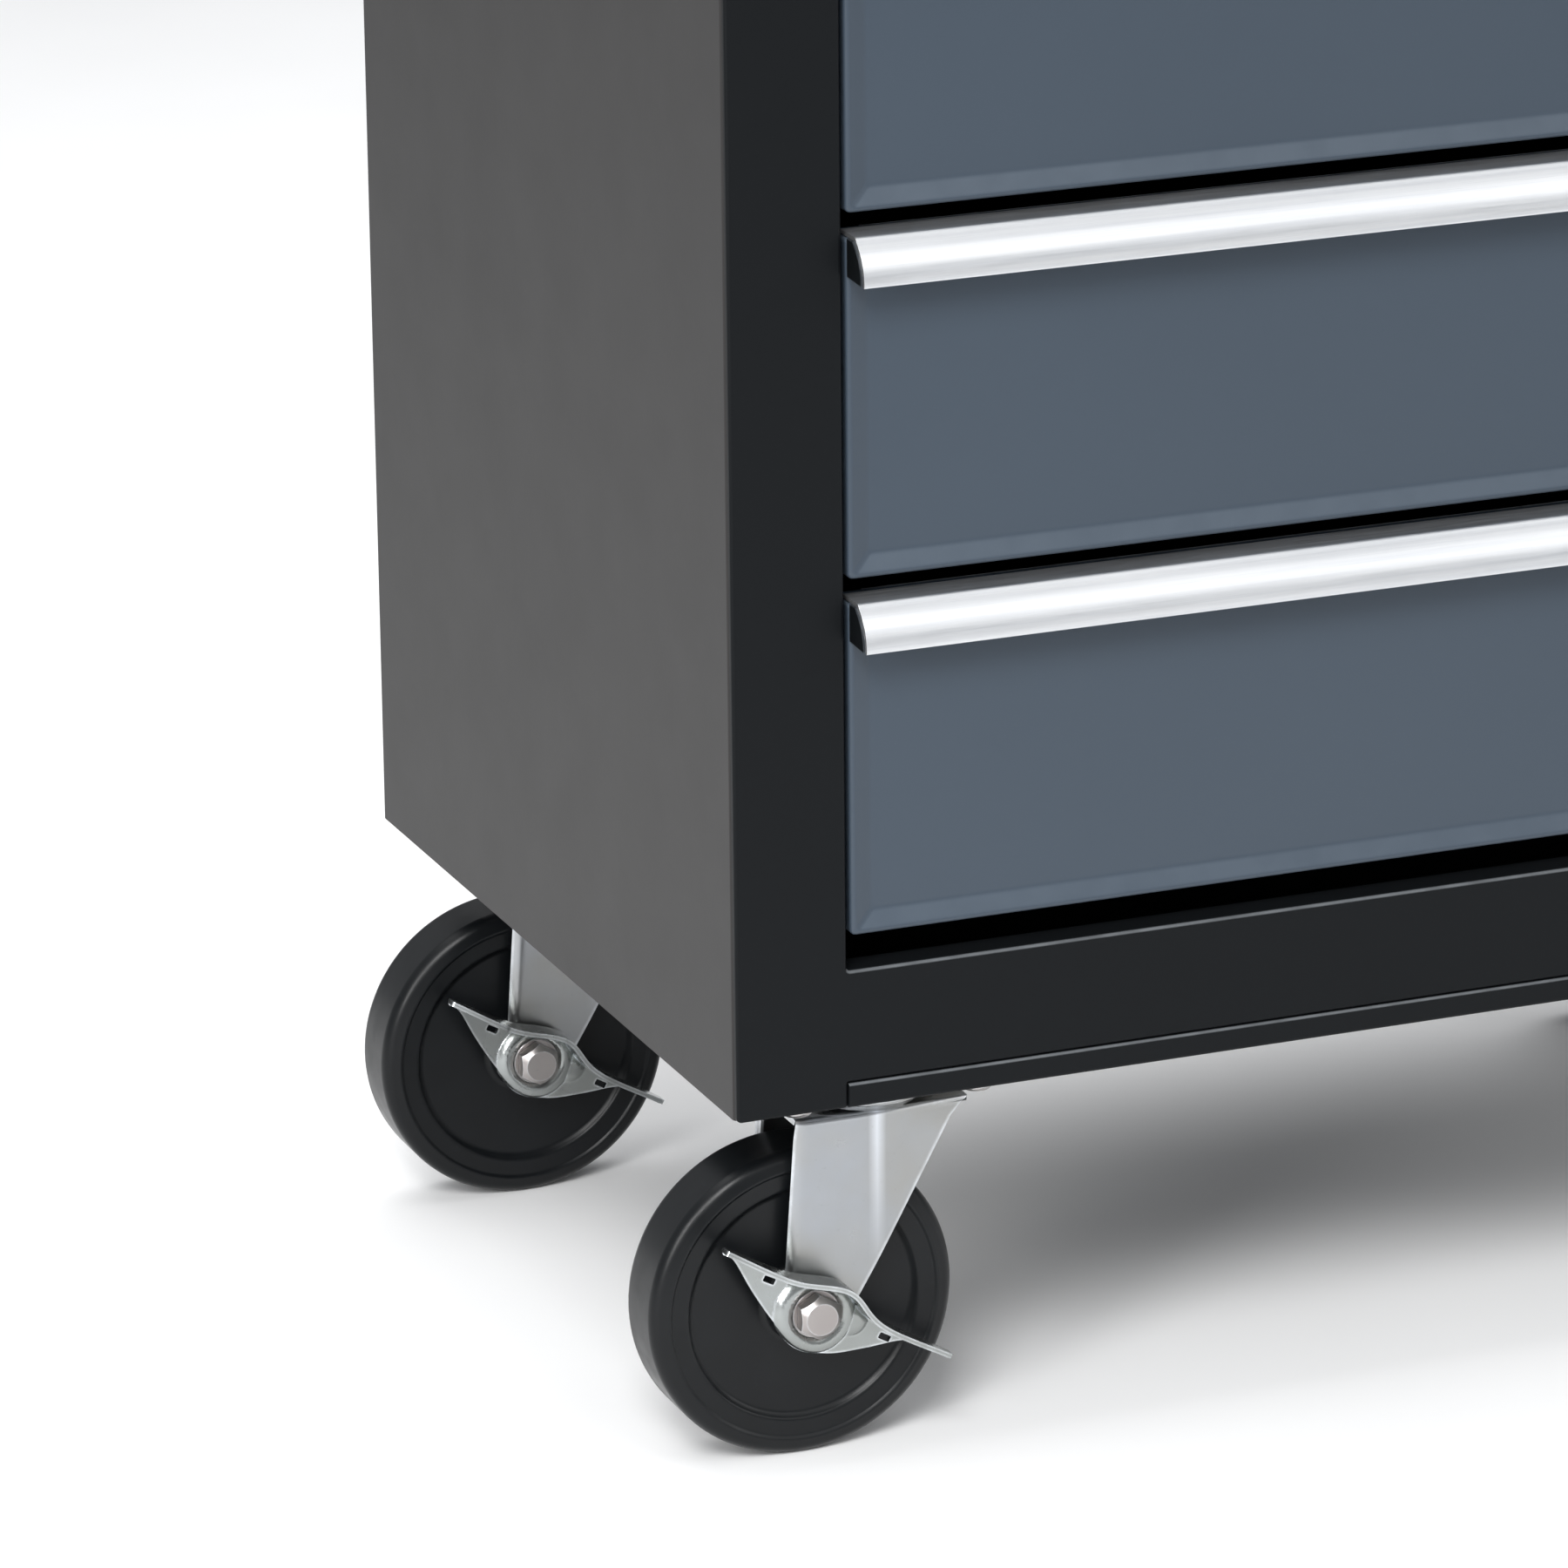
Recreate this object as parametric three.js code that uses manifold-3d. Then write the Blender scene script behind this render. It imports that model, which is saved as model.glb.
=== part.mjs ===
// Rolling tool chest: a four-drawer steel cabinet on two braked swivel casters (left end) and two rigid
// casters (right end). Millimetres, +Z up, +X to the right of someone facing the drawers, +Y to the back.
// The origin is the middle of the bounding box at floor level.
import * as THREE from "three";
import { mergeVertices } from "three/addons/utils/BufferGeometryUtils.js";
import Module from "manifold-3d";

const wasm = await Module();
wasm.setup();

// ---- driving dimensions -------------------------------------------------------------------------------
const CABINET = { width: 660, depth: 412, height: 684 };
const CASTER_HEIGHT = 156;
const SHEET = 1.2; // body panels
const GAP = 0.3; // between neighbouring pieces
const SIDE_FOLD = { front: 12, rear: 20 }; // inward folds of a side panel
const STILE = 46; // width of the frame on each side of the drawers
const FRAME = { sheet: 1.4, fold: 14, railBottom: 10.4, railTop: 56, openingTop: 639.5 };
const PAN = { wall: 1.5, lipFront: -0.6 }; // the pan's lip shows below the bottom rail
const CAP = 12; // depth of the top panel's folded edge

const DRAWER = { count: 4, pitch: 142.5, height: 134.9, lowest: 70, side: 1.8, depth: 16.7 };
const BEVEL = { side: 7, bottom: 11, top: 3, depth: 3 };
const TRAY = { front: 17, back: 385, lift: 6, height: 106, frontHeight: 127 };
const HANDLE = { reach: 16, wall: 1.6, drop: 17.6, webBack: 8 };
const SLIDE = { front: 17, back: 392, lift: 46, thickness: 12.6, sheet: 1.2, off: 0.4 };
const POST = { fronts: [18, 364], width: 24, sheet: 1.5, face: 2.8 }; // angle posts that carry the slides

const WHEEL = { radius: 64, width: 32, bore: 5.4, hub: 15, segments: 32 };
const CASTER = { insetX: 72, insetY: 48, trail: 32 };
const PLATE = { x: 94, y: 66, thick: 3, holeInset: 9, holeRadius: 4.5 };
const RACE = { radius: 27, low: 145.6 }; // bearing ring under a swivel caster's plate
const KINGPIN = { radius: 6, headRadius: 10, low: 134.5, headTop: 138 };
const FORK = { sheet: 2.5, halfGap: 19.2, crownTop: 143, left: -37, right: 36, endRadius: 14 };
const RIGID_LEG_TOP = 34; // half of a rigid fork leg's width at the plate
const BOLT = { shaft: 5, flats: 16, head: 7, nut: 8, spare: 2.5 };
const PEDAL = { inner: -24.2, sheet: 2, flange: 13 };
const PEDAL_EDGE = [[56.7, -24.7], [24.8, -4.6], [10.7, 12], [-12.5, 19.9], [-40.5, 34.8]];

const LOCK = { fromRight: 23, z: 656, flange: 12.5, bodyRadius: 9.5, plugRadius: 6.3, depth: 20, throw: 10 };
const CAM = { width: 12, back: 25.5, pegRadius: 2, pegBack: 32 };
const LOCK_BAR = { y: [27.4, 29.4], left: -18, right: 8, stripWidth: 10, headDrop: 22 };

// Shifts the cabinet so that the bounding box, with its overhanging wheels and handles, is centred.
const wheelOverhang = WHEEL.radius - (CASTER.insetX - CASTER.trail);
const CABINET_X = -CABINET.width / 2 + wheelOverhang / 2;
const CABINET_Y = -CABINET.depth / 2 + HANDLE.reach / 2;

// ---- finishes -----------------------------------------------------------------------------------------
const paint = (color, roughness) => new THREE.MeshStandardMaterial({ color, roughness, metalness: 0 });
const metal = (color, roughness) => new THREE.MeshStandardMaterial({ color, roughness, metalness: 1 });
const FINISH = {
  side: paint(0x5b5b5b, 0.45),
  frame: paint(0x232526, 0.4),
  slate: paint(0x525d68, 0.45),
  handle: metal(0xe4e5e7, 0.3),
  zinc: metal(0xb4b8ba, 0.35),
  steel: metal(0x9a9da0, 0.4),
  wheel: paint(0x1d1f21, 0.55),
  chrome: metal(0xd0d2d4, 0.15),
};

// ---- solid helpers ------------------------------------------------------------------------------------
function solidOf(geometry) {
  const bare = geometry.clone();
  for (const name of Object.keys(bare.attributes)) if (name !== "position") bare.deleteAttribute(name);
  const merged = mergeVertices(bare, 1e-4);
  return new wasm.Manifold(
    new wasm.Mesh({
      numProp: 3,
      vertProperties: merged.attributes.position.array,
      triVerts: new Uint32Array(merged.index.array),
    }),
  );
}

function geometryOf(solid) {
  const mesh = solid.getMesh();
  const positions = new Float32Array(mesh.numVert * 3);
  for (let i = 0; i < mesh.numVert; i++)
    positions.set(mesh.vertProperties.subarray(i * mesh.numProp, i * mesh.numProp + 3), i * 3);
  const geometry = new THREE.BufferGeometry();
  geometry.setAttribute("position", new THREE.BufferAttribute(positions, 3));
  geometry.setIndex(new THREE.BufferAttribute(mesh.triVerts, 1));
  const flat = geometry.toNonIndexed();
  flat.computeVertexNormals();
  return flat;
}

const joined = (...solids) => solids.reduce((whole, piece) => whole.add(piece));
const cut = (solid, ...tools) => tools.reduce((rest, tool) => rest.subtract(tool), solid);

// A closed block whose front (low y) and back (high y) faces are rectangles of different sizes.
function taperedBlock(front, back) {
  const geometry = new THREE.BoxGeometry();
  const corners = geometry.attributes.position;
  for (let i = 0; i < corners.count; i++) {
    const face = corners.getY(i) < 0 ? front : back;
    const x = corners.getX(i) < 0 ? face.x[0] : face.x[1];
    const z = corners.getZ(i) < 0 ? face.z[0] : face.z[1];
    corners.setXYZ(i, x, face.y, z);
  }
  return solidOf(geometry);
}

const box = (x, y, z) => taperedBlock({ x, z, y: y[0] }, { x, z, y: y[1] });

// A round bar about an axis through the origin, from low to high along that axis.
function rod(axis, radius, low, high, segments = 20) {
  const geometry = new THREE.CylinderGeometry(radius, radius, high - low, segments);
  geometry.translate(0, (low + high) / 2, 0);
  if (axis === "z") geometry.rotateX(Math.PI / 2);
  return solidOf(geometry);
}

// Hexagonal bar along Y, by its size across flats.
const hexBar = (flats, low, high) => rod("y", flats / Math.sqrt(3), low, high, 6);

function extruded(shape, depth, basis) {
  const geometry = new THREE.ExtrudeGeometry(shape, { depth, bevelEnabled: false, curveSegments: 8 });
  return solidOf(geometry.applyMatrix4(basis));
}

// An outline in (y, z) pushed along +X from x0 to x1.
function alongX(shape, x0, x1) {
  const basis = new THREE.Matrix4().makeBasis(
    new THREE.Vector3(0, 1, 0),
    new THREE.Vector3(0, 0, 1),
    new THREE.Vector3(1, 0, 0),
  );
  return extruded(shape, x1 - x0, basis.setPosition(x0, 0, 0));
}

// An outline in (x, z) pushed along Y between y0 and y1.
function alongY(shape, y0, y1) {
  const basis = new THREE.Matrix4().makeBasis(
    new THREE.Vector3(1, 0, 0),
    new THREE.Vector3(0, 0, 1),
    new THREE.Vector3(0, -1, 0),
  );
  return extruded(shape, y1 - y0, basis.setPosition(0, y1, 0));
}

const points = (pairs) => pairs.map(([a, b]) => new THREE.Vector2(a, b));

// Section of sheet metal bent along a curve: the curve, then back along its left-hand offset.
function bentStrip(curve, thickness, divisions) {
  const face = curve.getPoints(divisions);
  const back = face.map((point, i) => {
    const along = curve.getTangent(i / divisions);
    return new THREE.Vector2(point.x - along.y * thickness, point.y + along.x * thickness);
  });
  return new THREE.Shape([...face, ...back.reverse()]);
}

function part(name, solid, finish) {
  const mesh = new THREE.Mesh(geometryOf(solid), finish);
  mesh.name = name;
  return mesh;
}

// Mirrors an x range from the left half of the cabinet to the right half.
const mirrorX = ([x0, x1]) => [CABINET.width - x1, CABINET.width - x0];
const onSide = (side, range) => (side === "left" ? range : mirrorX(range));

// ---- cabinet ------------------------------------------------------------------------------------------
const bodyTop = CABINET.height - CAP - GAP;

function sidePanel(side) {
  const front = FRAME.sheet + GAP;
  const back = CABINET.depth;
  const skin = box(onSide(side, [0, SHEET]), [front, back], [0, bodyTop]);
  const upper = [FRAME.railBottom, bodyTop];
  const frontFold = box(onSide(side, [0, SIDE_FOLD.front]), [front, front + SHEET], upper);
  const rearFold = box(onSide(side, [0, SIDE_FOLD.rear]), [back - SHEET, back], [0, bodyTop]);
  return part(`${side}_side_panel`, joined(skin, frontFold, rearFold), FINISH.side);
}

function backPanel() {
  const outer = CABINET.depth - SHEET - GAP;
  const edge = SHEET + GAP;
  const room = 2; // above the base pan and below the top panel
  const z = [FRAME.railBottom + room, bodyTop - room];
  const sheet = box([edge, CABINET.width - edge], [outer - SHEET, outer], z);
  return part("back_panel", sheet, FINISH.side);
}

function topPanel() {
  const outer = box([0, CABINET.width], [0, CABINET.depth], [CABINET.height - CAP, CABINET.height]);
  const hollow = box(
    [SHEET, CABINET.width - SHEET],
    [SHEET, CABINET.depth - SHEET],
    [CABINET.height - CAP - 1, CABINET.height - SHEET],
  );
  return part("top_panel", cut(outer, hollow), FINISH.side);
}

// A shallow tray that carries the casters. Its front wall shows below the bottom rail, between the stiles.
function basePan() {
  const { wall, lipFront } = PAN;
  const x = [SHEET + GAP, CABINET.width - SHEET - GAP];
  const y = [SHEET + 2 * GAP, CABINET.depth - 3 * SHEET - 3 * GAP];
  const top = FRAME.railBottom - GAP;
  const tray = box(x, y, [0, top]);
  const hollow = box([x[0] + wall, x[1] - wall], [y[0] + wall, y[1] - wall], [wall, top + 1]);
  const lip = box([STILE + GAP, CABINET.width - STILE - GAP], [lipFront, y[0] + wall], [0, top]);
  return part("base_pan", joined(cut(tray, hollow), lip), FINISH.frame);
}

function frontFrame() {
  const { sheet, fold } = FRAME;
  const openX = [STILE, CABINET.width - STILE];
  const openZ = [FRAME.railTop, FRAME.openingTop];
  const face = box([0, CABINET.width], [0, sheet], [0, bodyTop]);
  const foldRing = box([openX[0] - sheet, openX[1] + sheet], [0, fold], [openZ[0] - sheet, openZ[1] + sheet]);
  const opening = box(openX, [-1, fold + 1], openZ);
  const lipRecess = box(openX, [-1, fold], [-1, FRAME.railBottom]);
  const lockHole = rod("y", LOCK.bodyRadius + GAP, -1, fold).translate(lockX, 0, LOCK.z);
  const frame = cut(joined(face, foldRing), opening, lipRecess, lockHole);
  return part("front_frame", frame, FINISH.frame);
}

// Height of a drawer's lower edge; drawer 1 is the top one.
const drawerFloor = (number) => DRAWER.lowest + (DRAWER.count - number) * DRAWER.pitch;
const drawerNumbers = Array.from({ length: DRAWER.count }, (_, i) => i + 1);

// One member of a ball-bearing slide, as a C channel open towards the drawer (reach > 0) or the cabinet.
function channel(side, webX, reach, halfHeight, z) {
  const wall = SLIDE.sheet;
  const web = [webX, webX + wall];
  const legs = reach > 0 ? [webX, webX + reach] : [webX + wall + reach, webX + wall];
  const y = [SLIDE.front, SLIDE.back];
  return joined(
    box(onSide(side, web), y, [z - halfHeight, z + halfHeight]),
    box(onSide(side, legs), y, [z - halfHeight, z - halfHeight + wall]),
    box(onSide(side, legs), y, [z + halfHeight - wall, z + halfHeight]),
  );
}

const slideX = STILE + SLIDE.off;
const slideZ = (number) => drawerFloor(number) + SLIDE.lift;
const MEMBER = {
  fixed: { web: slideX, reach: 9, halfHeight: 22.5 },
  middle: { web: slideX + 2.2, reach: 8, halfHeight: 19.5 },
  runner: { web: slideX + SLIDE.thickness - SLIDE.sheet, reach: -7.6, halfHeight: 16.5 },
};
const member = (kind, side, number) =>
  channel(side, MEMBER[kind].web, MEMBER[kind].reach, MEMBER[kind].halfHeight, slideZ(number));

// Two upright angle posts with the fixed members of every slide on one side of the cabinet.
function slideRack(side) {
  const z = [FRAME.railBottom, CABINET.height - SHEET - GAP];
  const faceEnd = slideX + 0.2; // runs a little into the channels, which are welded to it
  const posts = POST.fronts.map((front) => {
    const back = front + POST.width;
    const face = box(onSide(side, [faceEnd - POST.face, faceEnd]), [front, back], z);
    const flange = box(onSide(side, [SHEET + GAP, STILE]), [back - POST.sheet, back], z);
    return joined(face, flange);
  });
  const channels = drawerNumbers.map((number) => member("fixed", side, number));
  return part(`${side}_slide_rack`, joined(...posts, ...channels), FINISH.steel);
}

// ---- lock ---------------------------------------------------------------------------------------------
const lockX = CABINET.width - LOCK.fromRight;
const atLock = (solid) => solid.translate(lockX, 0, LOCK.z);

function lockBarrel() {
  const flange = rod("y", LOCK.flange, -2, -GAP, 24);
  const body = rod("y", LOCK.bodyRadius, -1, LOCK.depth, 24);
  const bore = rod("y", LOCK.plugRadius + GAP, -3, LOCK.depth + 1, 24);
  return part("lock_barrel", atLock(cut(joined(flange, body), bore)), FINISH.chrome);
}

const plugBack = LOCK.depth + 3;

function lockPlug() {
  const shank = rod("y", LOCK.plugRadius, -1.6, plugBack, 20);
  const keyway = box([-0.9, 0.9], [-3, 8], [-4.2, 4.2]);
  return part("lock_plug", atLock(cut(shank, keyway)), FINISH.chrome);
}

// Lever on the plug's end. Its peg stands in the lock bar's slot.
function lockCam() {
  const half = CAM.width / 2;
  const lever = box([-half, half], [plugBack + GAP, CAM.back], [-LOCK.throw - 4, half]);
  const peg = rod("y", CAM.pegRadius, CAM.back - 1, CAM.pegBack, 12).translate(0, 0, -LOCK.throw);
  return part("lock_cam", atLock(joined(lever, peg)), FINISH.steel);
}

// Flat bar behind the right stile with a hook beside each drawer. Turning the cam lifts it by LOCK.throw.
function lockBar() {
  const { y, left, right, stripWidth, headDrop } = LOCK_BAR;
  const slack = { x: CAM.pegRadius + 0.6, z: CAM.pegRadius + 2.4 };
  const slotZ = [-LOCK.throw - slack.z, -LOCK.throw + slack.z];
  const slot = box([-LOCK.throw - slack.x, slack.x], [y[0] - 1, y[1] + 1], slotZ);
  const head = box([left, right], y, [-headDrop, 0]);
  const lowest = drawerFloor(DRAWER.count) - LOCK.z + 20;
  const strip = box([left, left + stripWidth], y, [lowest, 1 - headDrop]);
  const hooks = drawerNumbers.map((number) => {
    const z = drawerFloor(number) + TRAY.height - LOCK.z;
    return box([left - 2.4, left + 1], y, [z - 8, z]);
  });
  return part("lock_bar", atLock(joined(cut(head, slot), strip, ...hooks)), FINISH.steel);
}

// ---- drawers ------------------------------------------------------------------------------------------
const frontX = [STILE + DRAWER.side, CABINET.width - STILE - DRAWER.side];

// A pressed pan: flat face with sloping side and lower margins, and folds that run back to the tray.
function drawerFront(number) {
  const low = drawerFloor(number);
  const high = low + DRAWER.height - HANDLE.wall - GAP;
  const pan = (wall) => {
    const rim = { x: [frontX[0] + wall, frontX[1] - wall], z: [low + wall, high - wall] };
    const face = {
      x: [frontX[0] + BEVEL.side, frontX[1] - BEVEL.side],
      z: [low + BEVEL.bottom, high - BEVEL.top],
    };
    const rimBack = DRAWER.depth + (wall ? 1 : 0);
    return joined(
      taperedBlock({ ...face, y: wall }, { ...rim, y: BEVEL.depth + wall }),
      box(rim.x, [BEVEL.depth + wall - 0.01, rimBack], rim.z),
    );
  };
  return part(`drawer_${number}_front`, cut(pan(0), pan(SHEET)), FINISH.slate);
}

// Aluminium pull: a web over the drawer's top edge, a leg against its face and a bulging grip in front.
function drawerHandle(number) {
  const top = drawerFloor(number) + DRAWER.height;
  const { reach, wall, drop, webBack } = HANDLE;
  const bulge = points([[0, 0], [-9, 0.2], [-11, -4], [-reach + 0.3, -drop + 0.6]]);
  const grip = bentStrip(new THREE.CubicBezierCurve(...bulge), wall, 8);
  const web = box(frontX, [-wall, webBack], [top - wall, top]);
  const leg = box(frontX, [-wall - GAP, -GAP], [top - drop + 1, top - wall + GAP]);
  const gripSolid = alongX(grip, ...frontX).translate(0, 0, top);
  return part(`drawer_${number}_handle`, joined(gripSolid, web, leg), FINISH.handle);
}

// Open tray. Its front wall is higher than the others and closes the hollow back of the drawer front.
function drawerTray(number) {
  const low = drawerFloor(number) + TRAY.lift;
  const edge = slideX + SLIDE.thickness + GAP;
  const x = [edge, CABINET.width - edge];
  const y = [TRAY.front, TRAY.back];
  const top = low + TRAY.height;
  const outer = box(x, y, [low, top]);
  const inside = box([x[0] + SHEET, x[1] - SHEET], [y[0] + SHEET, y[1] - SHEET], [low + SHEET, top + 1]);
  const frontWall = box(x, [y[0], y[0] + SHEET], [low, low + TRAY.frontHeight]);
  return part(`drawer_${number}_tray`, joined(cut(outer, inside), frontWall), FINISH.frame);
}

function drawerParts(number) {
  const made = [drawerFront(number), drawerHandle(number), drawerTray(number)];
  for (const side of ["left", "right"]) {
    made.push(part(`drawer_${number}_${side}_runner`, member("runner", side, number), FINISH.steel));
    made.push(part(`drawer_${number}_${side}_slide`, member("middle", side, number), FINISH.steel));
  }
  return made;
}

// ---- casters: local frame with the plate's centre above the origin, floor at z = 0 ----------------------
// Half of the wheel's section as (radius, across); the other half mirrors it.
function wheelSolid(axleX) {
  const scale = 1 / Math.cos(Math.PI / WHEEL.segments); // puts the middles of the flats at the true radius
  const half = WHEEL.width / 2;
  const { radius, bore, hub } = WHEEL;
  const near = [[bore, half + 2], [hub, half + 2], [hub + 1, half - 2.5], [47, half - 2.5], [50, half - 0.5],
    [radius - 7, half], [radius - 3, half - 1.5], [radius, half - 5]];
  const far = near.map(([r, across]) => [r, -across]).reverse();
  const section = [...near, ...far, near[0]].map(([r, across]) => new THREE.Vector2(r * scale, across));
  const geometry = new THREE.LatheGeometry(section.reverse(), WHEEL.segments, Math.PI / WHEEL.segments);
  return solidOf(geometry).translate(axleX, 0, WHEEL.radius);
}

function boltSolid(axleX, headFace) {
  const nutFace = FORK.halfGap + FORK.sheet;
  const shaft = rod("y", BOLT.shaft, headFace, nutFace + BOLT.nut + BOLT.spare);
  const head = hexBar(BOLT.flats, headFace - BOLT.head, headFace + 0.1);
  return joined(shaft, head).translate(axleX, 0, WHEEL.radius);
}

function nutSolid(axleX) {
  const face = FORK.halfGap + FORK.sheet + GAP;
  const nut = hexBar(BOLT.flats, face, face + BOLT.nut);
  const thread = rod("y", BOLT.shaft + 0.2, face - 1, face + BOLT.nut + 1);
  return cut(nut, thread).translate(axleX, 0, WHEEL.radius);
}

// Side view of a fork leg: wide at the crown, then straight edges that run tangent to the eye round the axle.
function legShape(left, right, top, axleX) {
  const radius = FORK.endRadius;
  const tangent = (x, turn) => {
    const dx = x - axleX;
    const dz = top - WHEEL.radius;
    const angle = Math.atan2(dz, dx) + turn * Math.acos(radius / Math.hypot(dx, dz));
    return angle;
  };
  const start = tangent(left, 1);
  const end = tangent(right, -1);
  const shape = new THREE.Shape();
  shape.moveTo(right, top);
  shape.lineTo(left, top);
  shape.lineTo(axleX + radius * Math.cos(start), WHEEL.radius + radius * Math.sin(start));
  shape.absarc(axleX, WHEEL.radius, radius, start, end + 2 * Math.PI, false);
  shape.closePath();
  return shape;
}

function legs(left, right, top, axleX) {
  const shape = legShape(left, right, top, axleX);
  const pair = [-1, 1].map((hand) => {
    const y = [hand * FORK.halfGap, hand * (FORK.halfGap + FORK.sheet)].sort((a, b) => a - b);
    return alongY(shape, ...y);
  });
  const eye = rod("y", BOLT.shaft + GAP, -40, 40).translate(axleX, 0, WHEEL.radius);
  return cut(joined(...pair), eye);
}

const plateTop = CASTER_HEIGHT - 0.2;
const plateBottom = plateTop - PLATE.thick;

function mountingPlate() {
  const halfX = PLATE.x / 2;
  const halfY = PLATE.y / 2;
  const plate = box([-halfX, halfX], [-halfY, halfY], [plateBottom, plateTop]);
  const hole = rod("z", PLATE.holeRadius, plateBottom - 1, plateTop + 1, 12);
  const holes = [[-1, -1], [-1, 1], [1, -1], [1, 1]].map(([i, j]) =>
    hole.translate(i * (halfX - PLATE.holeInset), j * (halfY - PLATE.holeInset), 0),
  );
  return cut(plate, ...holes);
}

function swivelPlate() {
  const { radius, low } = RACE;
  const top = plateBottom + 1;
  const rim = radius - 3;
  const section = [[0, low], [rim, low], [radius, low + 2.4], [radius, top - 3], [rim, top], [0, top]];
  const bearing = solidOf(new THREE.LatheGeometry(points(section), 24).rotateX(Math.PI / 2));
  const kingpin = rod("z", KINGPIN.radius, KINGPIN.low + 1, low + 1);
  const head = rod("z", KINGPIN.headRadius, KINGPIN.low, KINGPIN.headTop, 20);
  return joined(mountingPlate(), bearing, kingpin, head);
}

function swivelFork(axleX) {
  const { crownTop, sheet, halfGap, left, right } = FORK;
  const outer = halfGap + sheet;
  const crown = box([left, right], [-outer, outer], [crownTop - sheet, crownTop]);
  const dish = rod("z", RACE.radius - 5, crownTop - 1, crownTop + 2, 24);
  const kingpinHole = rod("z", KINGPIN.radius + 0.4, crownTop - 4, crownTop + 3);
  return joined(cut(joined(crown, dish), kingpinHole), legs(left, right, crownTop, axleX));
}

// Rocker pedal: a side plate round the axle bolt, with a foot flange along its wavy upper edge.
function pedalSolid(axleX) {
  const { inner, sheet, flange } = PEDAL;
  const upperEdge = new THREE.SplineCurve(points(PEDAL_EDGE));
  const outline = new THREE.Shape(upperEdge.getPoints(12).slice(2));
  outline.lineTo(-20, -1);
  outline.quadraticCurveTo(-10, -19, 8, -19.3);
  outline.lineTo(22, -19.5);
  const plate = alongY(outline, inner - sheet, inner);
  const foot = alongY(bentStrip(upperEdge, sheet, 12), inner - sheet - flange, inner);
  const eye = rod("y", BOLT.shaft + GAP, inner - 2 * sheet, inner + sheet);
  return joined(cut(plate, eye), foot).translate(axleX, 0, WHEEL.radius);
}

function swivelCaster(name) {
  const axleX = -CASTER.trail;
  const headFace = PEDAL.inner - PEDAL.sheet - GAP - 1.2;
  const bolt = boltSolid(axleX, headFace);
  return [
    part(`${name}_swivel_plate`, swivelPlate(), FINISH.zinc),
    part(`${name}_swivel_fork`, swivelFork(axleX), FINISH.zinc),
    part(`${name}_swivel_wheel`, wheelSolid(axleX), FINISH.wheel),
    part(`${name}_swivel_axle_bolt`, bolt, FINISH.zinc),
    part(`${name}_swivel_axle_nut`, nutSolid(axleX), FINISH.zinc),
    part(`${name}_swivel_brake_pedal`, pedalSolid(axleX), FINISH.zinc),
  ];
}

function rigidCaster(name) {
  const fork = joined(mountingPlate(), legs(-RIGID_LEG_TOP, RIGID_LEG_TOP, plateBottom + 1, 0));
  return [
    part(`${name}_rigid_fork`, fork, FINISH.zinc),
    part(`${name}_rigid_wheel`, wheelSolid(0), FINISH.wheel),
    part(`${name}_rigid_axle_bolt`, boltSolid(0, -FORK.halfGap - FORK.sheet - GAP), FINISH.zinc),
    part(`${name}_rigid_axle_nut`, nutSolid(0), FINISH.zinc),
  ];
}

// ---- assembly -----------------------------------------------------------------------------------------
const chest = new THREE.Group();

const cabinet = new THREE.Group();
cabinet.position.set(CABINET_X, CABINET_Y, CASTER_HEIGHT);
cabinet.add(sidePanel("left"), sidePanel("right"), backPanel(), topPanel(), basePan(), frontFrame());
cabinet.add(slideRack("left"), slideRack("right"), lockBarrel(), lockPlug(), lockCam(), lockBar());
cabinet.add(...drawerNumbers.flatMap(drawerParts));
chest.add(cabinet);

const casterRows = { front: CASTER.insetY, rear: CABINET.depth - CASTER.insetY };
for (const [name, y] of Object.entries(casterRows)) {
  const swivel = new THREE.Group();
  swivel.position.set(CABINET_X + CASTER.insetX, CABINET_Y + y, 0);
  swivel.add(...swivelCaster(name));
  const rigid = new THREE.Group();
  rigid.position.set(CABINET_X + CABINET.width - CASTER.insetX, CABINET_Y + y, 0);
  rigid.add(...rigidCaster(name));
  chest.add(swivel, rigid);
}

export default chest;
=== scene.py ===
"""Looks of the rolling tool chest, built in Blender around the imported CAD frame.

Shapes are laid out in millimetres from the cabinet's lower left front corner: x to the right, y to the back,
z up. piece() turns them into metres in the frame's own axes.
"""

import math

import bmesh
import bpy
from mathutils import Matrix, Vector
from mathutils.geometry import tessellate_polygon


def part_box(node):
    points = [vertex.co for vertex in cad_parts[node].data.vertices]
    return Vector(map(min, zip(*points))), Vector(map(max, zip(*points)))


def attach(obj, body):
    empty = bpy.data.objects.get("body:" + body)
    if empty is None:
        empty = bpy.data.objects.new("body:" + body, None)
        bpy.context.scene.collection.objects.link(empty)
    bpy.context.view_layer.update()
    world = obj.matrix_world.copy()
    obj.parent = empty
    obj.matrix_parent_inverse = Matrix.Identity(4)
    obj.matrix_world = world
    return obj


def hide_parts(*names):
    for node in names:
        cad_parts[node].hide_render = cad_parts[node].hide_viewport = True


MM = 0.001
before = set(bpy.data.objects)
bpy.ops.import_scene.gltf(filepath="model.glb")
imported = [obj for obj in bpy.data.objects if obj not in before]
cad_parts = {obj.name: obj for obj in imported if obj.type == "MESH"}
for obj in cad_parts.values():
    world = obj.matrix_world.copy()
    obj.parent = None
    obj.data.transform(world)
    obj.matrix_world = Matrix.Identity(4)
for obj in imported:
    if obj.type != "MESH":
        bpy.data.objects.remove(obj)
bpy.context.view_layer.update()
CORNER = Vector(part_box("front_frame")[0])


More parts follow.
